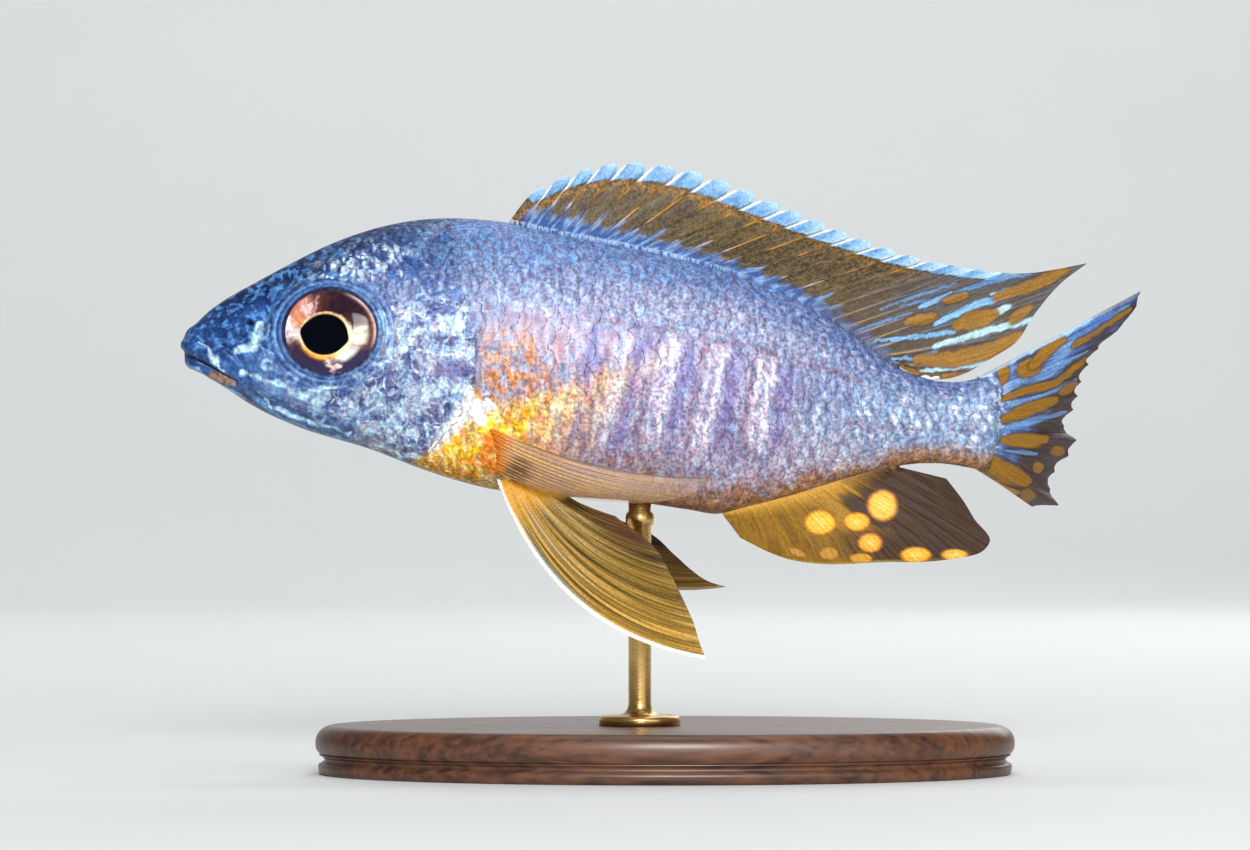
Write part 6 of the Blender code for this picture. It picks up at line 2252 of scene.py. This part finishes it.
    def ring(self) -> Piece:
        """The ring of skin round the eye: ridges and furrows carried round it on the cheek.

        Its profile is a height off the body's surface against the distance from the eyeball's
        outline; its outer edge and its inner edge lie below the skin.
        """
        distance = np.array([-0.55, -0.4, -0.22, -0.05, 0.08, 0.2, 0.34, 0.48, 0.6, 0.7, 0.8, 0.92, 1.06,
                             1.2, 1.34, 1.46, 1.56, 1.68, 1.82, 1.98, 2.15, 2.3])
        height = np.array([-0.9, -0.3, 0.1, 0.28, 0.34, 0.34, 0.28, 0.2, 0.13, 0.1, 0.12, 0.15, 0.16, 0.12,
                           0.04, -0.03, -0.04, -0.02, -0.04, -0.12, -0.24, -0.38])
        d, a = rings(self.around, distance)
        s = self.body.eye[0] + (self.radii[0] + d) * np.cos(a)
        h = self.body.eye[1] + (self.radii[1] + d) * np.sin(a)
        turn = self.body.angle_at(s, h, self.side)
        normal = self.body.normals(s, turn)
        z = np.broadcast_to(height[:, None], d.shape)
        top = self.body.around(s, turn) + normal * (z - 0.05)[..., None]
        low = self.body.around(s[::-1], turn[::-1]) - normal[::-1] * 1.2
        points = np.concatenate([top.reshape(-1, 3), low.reshape(-1, 3)])
        numbers = np.arange(len(points)).reshape(-1, self.around)
        quads = quads_of(np.pad(numbers, ((0, 1), (0, 1)), mode="wrap"))
        colour = self.markings.drawn(self.markings.ground(s, h, self.side), s, h)
        colour = painted(
            colour,
            (0x2C4E8A, 0.75 * fall(d, 0.5, 1.2)),
            # painted shade: near black on the inner slope, where the ring meets the eyeball
            (0x141A3C, 0.9 * fall(d, -0.1, 0.16)),
        )
        furrows = ((0.26, 0.09, 0x6896CC, 0.5), (0.5, 0.07, 0x223468, 0.5),
                   (0.72, 0.09, 0x709ED2, 0.4), (1, 0.07, 0x24366A, 0.35))
        for place, width, shade, strength in furrows:
            colour = over(colour, srgb(shade), strength * hump(d, place, width))
        tints = np.concatenate([colour.reshape(-1, 3), colour[::-1].reshape(-1, 3)])
        pearl = 0.35 * self.markings.pearl(points[:, 0], points[:, 2])
        return Piece(f"eye_ring_{self.side.label}", points, [quads], tints, {"pearl": pearl})

    def build(self) -> list[Thing]:
        """Builds the three pieces of the eye; the iris stands for the solid eyeball."""
        label = self.side.label
        return [
            self.iris().build(IrisFinish(f"iris_{label}").material(), Slot.EYE, (f"eye_{label}",)),
            self.cornea().build(CorneaFinish(f"cornea_{label}").material(), Slot.EYE),
            self.ring().build(SkinFinish(f"eye_ring_{label}").material(), Slot.HEAD),
        ]


@dataclass
class Stand:
    """The oval wooden plinth and the brass rod that carries the fish."""

    body: Body
    length: float = 86.0
    width: float = 50.0
    height: float = 6.0
    rod_s: float = 56.0
    rod_radius: float = 1.4
    flange_radius: float = 5.0
    flange_height: float = 1.2
    around: int = 192

    def turned(self, name: str, profile: Array, middle: tuple, stretch: tuple = (1, 1)) -> Piece:
        """A body turned round an upright axis from a profile of (radius, height) rows.

        Args:
            name: the piece's name.
            profile: rows that start and end on the axis, upwards from the floor.
            middle: the axis as (s, y).
            stretch: the two half sizes of an oval for a radius of 1.

        Returns:
            The piece.
        """
        r, a = rings(self.around, profile[1:-1, 0])
        heights = profile[:, 1] - BODY_LINE_HEIGHT
        z = np.broadcast_to(heights[1:-1, None], r.shape)
        s, y = middle[0] + r * stretch[0] * np.cos(a), middle[1] + r * stretch[1] * np.sin(a)
        poles = np.array([(*middle, heights[0]), (*middle, heights[-1])])
        points = np.concatenate([np.stack([s, y, z], axis=-1).reshape(-1, 3), poles])
        return Piece(name, points, capped_faces(*r.shape))

    def plinth(self) -> Piece:
        """The plinth: a small foot, a cove, a full round and a flat top, all within its height."""
        turn = np.linspace(0, math.pi / 2, 9)
        foot = np.array([(0, 0), (0.9, 0), (0.984, 0), (0.99, 0.25), (0.992, 1), (0.99, 1.3)])
        cove = np.stack([0.99 - 0.016 * np.sin(turn * 2), 1.3 + 1.1 * turn / (math.pi / 2)], axis=1)[1:]
        swell = np.stack([0.978 + 0.022 * np.sin(turn), 2.45 + 1.2 * (1 - np.cos(turn))], axis=1)
        crown = np.stack([1 - 0.05 * (1 - np.cos(turn)), 4 + 2 * np.sin(turn)], axis=1)
        flat = np.array([(0.9, 6), (0.5, 6), (0, 6)])
        profile = np.concatenate([foot, cove, swell, crown, flat])
        return self.turned("stand_plinth", profile, (TOTAL_LENGTH / 2, 0), (self.length / 2, self.width / 2))

    def rod(self) -> Piece:
        """The rod with its flange, which has a rounded edge and a small fillet up to the rod."""
        turn = np.linspace(0, math.pi / 2, 7)
        sin, cos = np.sin(turn), np.cos(turn)
        foot, full, wide = self.height + 0.02, self.flange_height, self.flange_radius
        edge = np.stack([wide - 0.5 * (1 - cos), foot + full - 0.5 + 0.5 * sin], axis=1)
        fillet = np.stack([self.rod_radius + 1.3 * (1 - sin), foot + full + 1.5 * (1 - cos)], axis=1)
        rim = foot + full
        groove = np.array([(wide - 1.1, rim), (wide - 1.25, rim - 0.12), (wide - 1.4, rim)])
        top = BODY_LINE_HEIGHT + float(self.body.belly(np.array(self.rod_s))) + 0.6
        thin, thick = self.rod_radius, self.rod_radius + 0.35
        collar = np.array([(thin, top - 3.4), (thick, top - 3), (thick, top - 1.9), (thin, top - 1.5),
                           (thin, top), (0, top)])
        start = np.array([(0, foot), (self.flange_radius, foot)])
        profile = np.concatenate([start, edge, groove, fillet, collar])
        return self.turned("stand_support", profile, (self.rod_s, 0))

    def build(self) -> list[Thing]:
        """Builds plinth and rod, which stand for their solids."""
        return [
            self.plinth().build(WoodFinish("oiled_wood").material(), Slot.WOOD, ("stand_base",)),
            self.rod().build(BrassFinish("brushed_brass").material(), Slot.METAL, ("stand_rod",)),
        ]


@dataclass
class Studio:
    """A pale sweep of floor, soft lamps and the camera at the photograph's angle."""

    camera_distance: float = 0.75
    frame_width: float = 0.15375
    look_at: tuple = (-0.00492, 0, 0.0429)
    sensor: float = 36.0
    sky: float = 0.2
    floor_reach: float = 2.5
    sweep_start: float = 0.7
    sweep_radius: float = 0.5
    wall_top: float = 2.2
    lamps: tuple = (
        ("key", (0.04, -0.86, 0.36), 0.26, 7.8),
        ("fill", (0.5, -0.7, 0.2), 0.6, 1.6, (0.95, 0.97, 1.0)),
        ("top", (0.0, -0.1, 0.8), 0.5, 1.6),
        ("rim", (0.25, 0.55, 0.35), 0.4, 1.0),
        ("backdrop", (0.0, 0.55, 1.1), 0.8, 7.5, (1.0, 1.0, 1.0), (0.0, 1.2, 0.3)),
    )  # for each its name, place, size, power, and any colour and aim

    def floor(self) -> None:
        """A floor that curves up behind into a wall: a flat run, a quarter circle and an upright run."""
        turn = np.linspace(0, math.pi / 2, 24)
        radius, back, reach = self.sweep_radius, self.sweep_start, self.floor_reach
        y = np.concatenate([[-reach, back], back + radius * np.sin(turn[1:]), [back + radius]])
        z = np.concatenate([[0, 0], radius * (1 - np.cos(turn[1:])), [self.wall_top]])
        x = np.array([-reach, reach])
        points = np.stack([*np.broadcast_arrays(x, y[:, None], z[:, None])], axis=-1)
        mesh = bpy.data.meshes.new("studio_floor")
        mesh.from_pydata(points.reshape(-1, 3).tolist(), [], sheet_faces(len(y), 2).tolist())
        mesh.materials.append(FloorFinish("studio_floor").material())
        mesh.shade_smooth()
        made = bpy.data.objects.new("studio_floor", mesh)
        bpy.context.scene.collection.objects.link(made)

    def lamp(self, name: str, place: tuple, size: float, power: float, colour: tuple = (1.0, 1.0, 1.0),
             aim_at: tuple | None = None) -> None:
        """A square lamp that faces the fish, or another place."""
        light = bpy.data.lights.new(name, "AREA")
        light.size, light.energy, light.color = size, power, colour
        made = bpy.data.objects.new(name, light)
        made.location = place
        aim = Vector(aim_at or self.look_at) - Vector(place)
        made.rotation_euler = aim.to_track_quat("-Z", "Y").to_euler()
        bpy.context.scene.collection.objects.link(made)

    def camera(self) -> None:
        """A long lens, level with the fish, straight at its left side."""
        data = bpy.data.cameras.new("camera")
        data.sensor_width = self.sensor
        data.lens = self.sensor * self.camera_distance / self.frame_width
        data.clip_start, data.clip_end = 0.01, 20
        made = bpy.data.objects.new("camera", data)
        x, y, z = self.look_at
        made.location = (x, y - self.camera_distance, z)
        made.rotation_euler = (math.pi / 2, 0, 0)
        bpy.context.scene.collection.objects.link(made)
        bpy.context.scene.camera = made

    def build(self) -> None:
        """Sets up the stage."""
        world = bpy.data.worlds.new("studio")
        world.use_nodes = True
        sky = world.node_tree.nodes["Background"]
        sky.inputs["Color"].default_value = (0.92, 0.95, 1, 1)
        sky.inputs["Strength"].default_value = self.sky
        bpy.context.scene.world = world
        self.floor()
        for lamp in self.lamps:
            self.lamp(*lamp)
        self.camera()
        bpy.context.scene.view_settings.view_transform = "Standard"


def main() -> None:
    """Builds every piece in order."""
    logging.basicConfig(level=logging.INFO, format="%(name)s: %(message)s")
    body = Body()
    markings = Markings(body)
    Skin(body, markings).build()
    Scales(body, markings).build()
    for side in Side:
        Eye(body, markings, side).build()
    upright = FinFinish("upright_fins").material()
    pectoral = FinFinish("pectoral_fins", 0.3, clear=True).material()
    pelvic = FinFinish("pelvic_fins", 0.22).material()
    for fin in (DorsalFin, AnalFin, TailFin):
        fin(body, upright).build()
    for fin, finish in ((PectoralFin, pectoral), (PelvicFin, pelvic)):
        for side in Side:
            fin(body, finish, side=side).build()
    Stand(body).build()
    Studio().build()


if __name__ == "__main__":
    main()
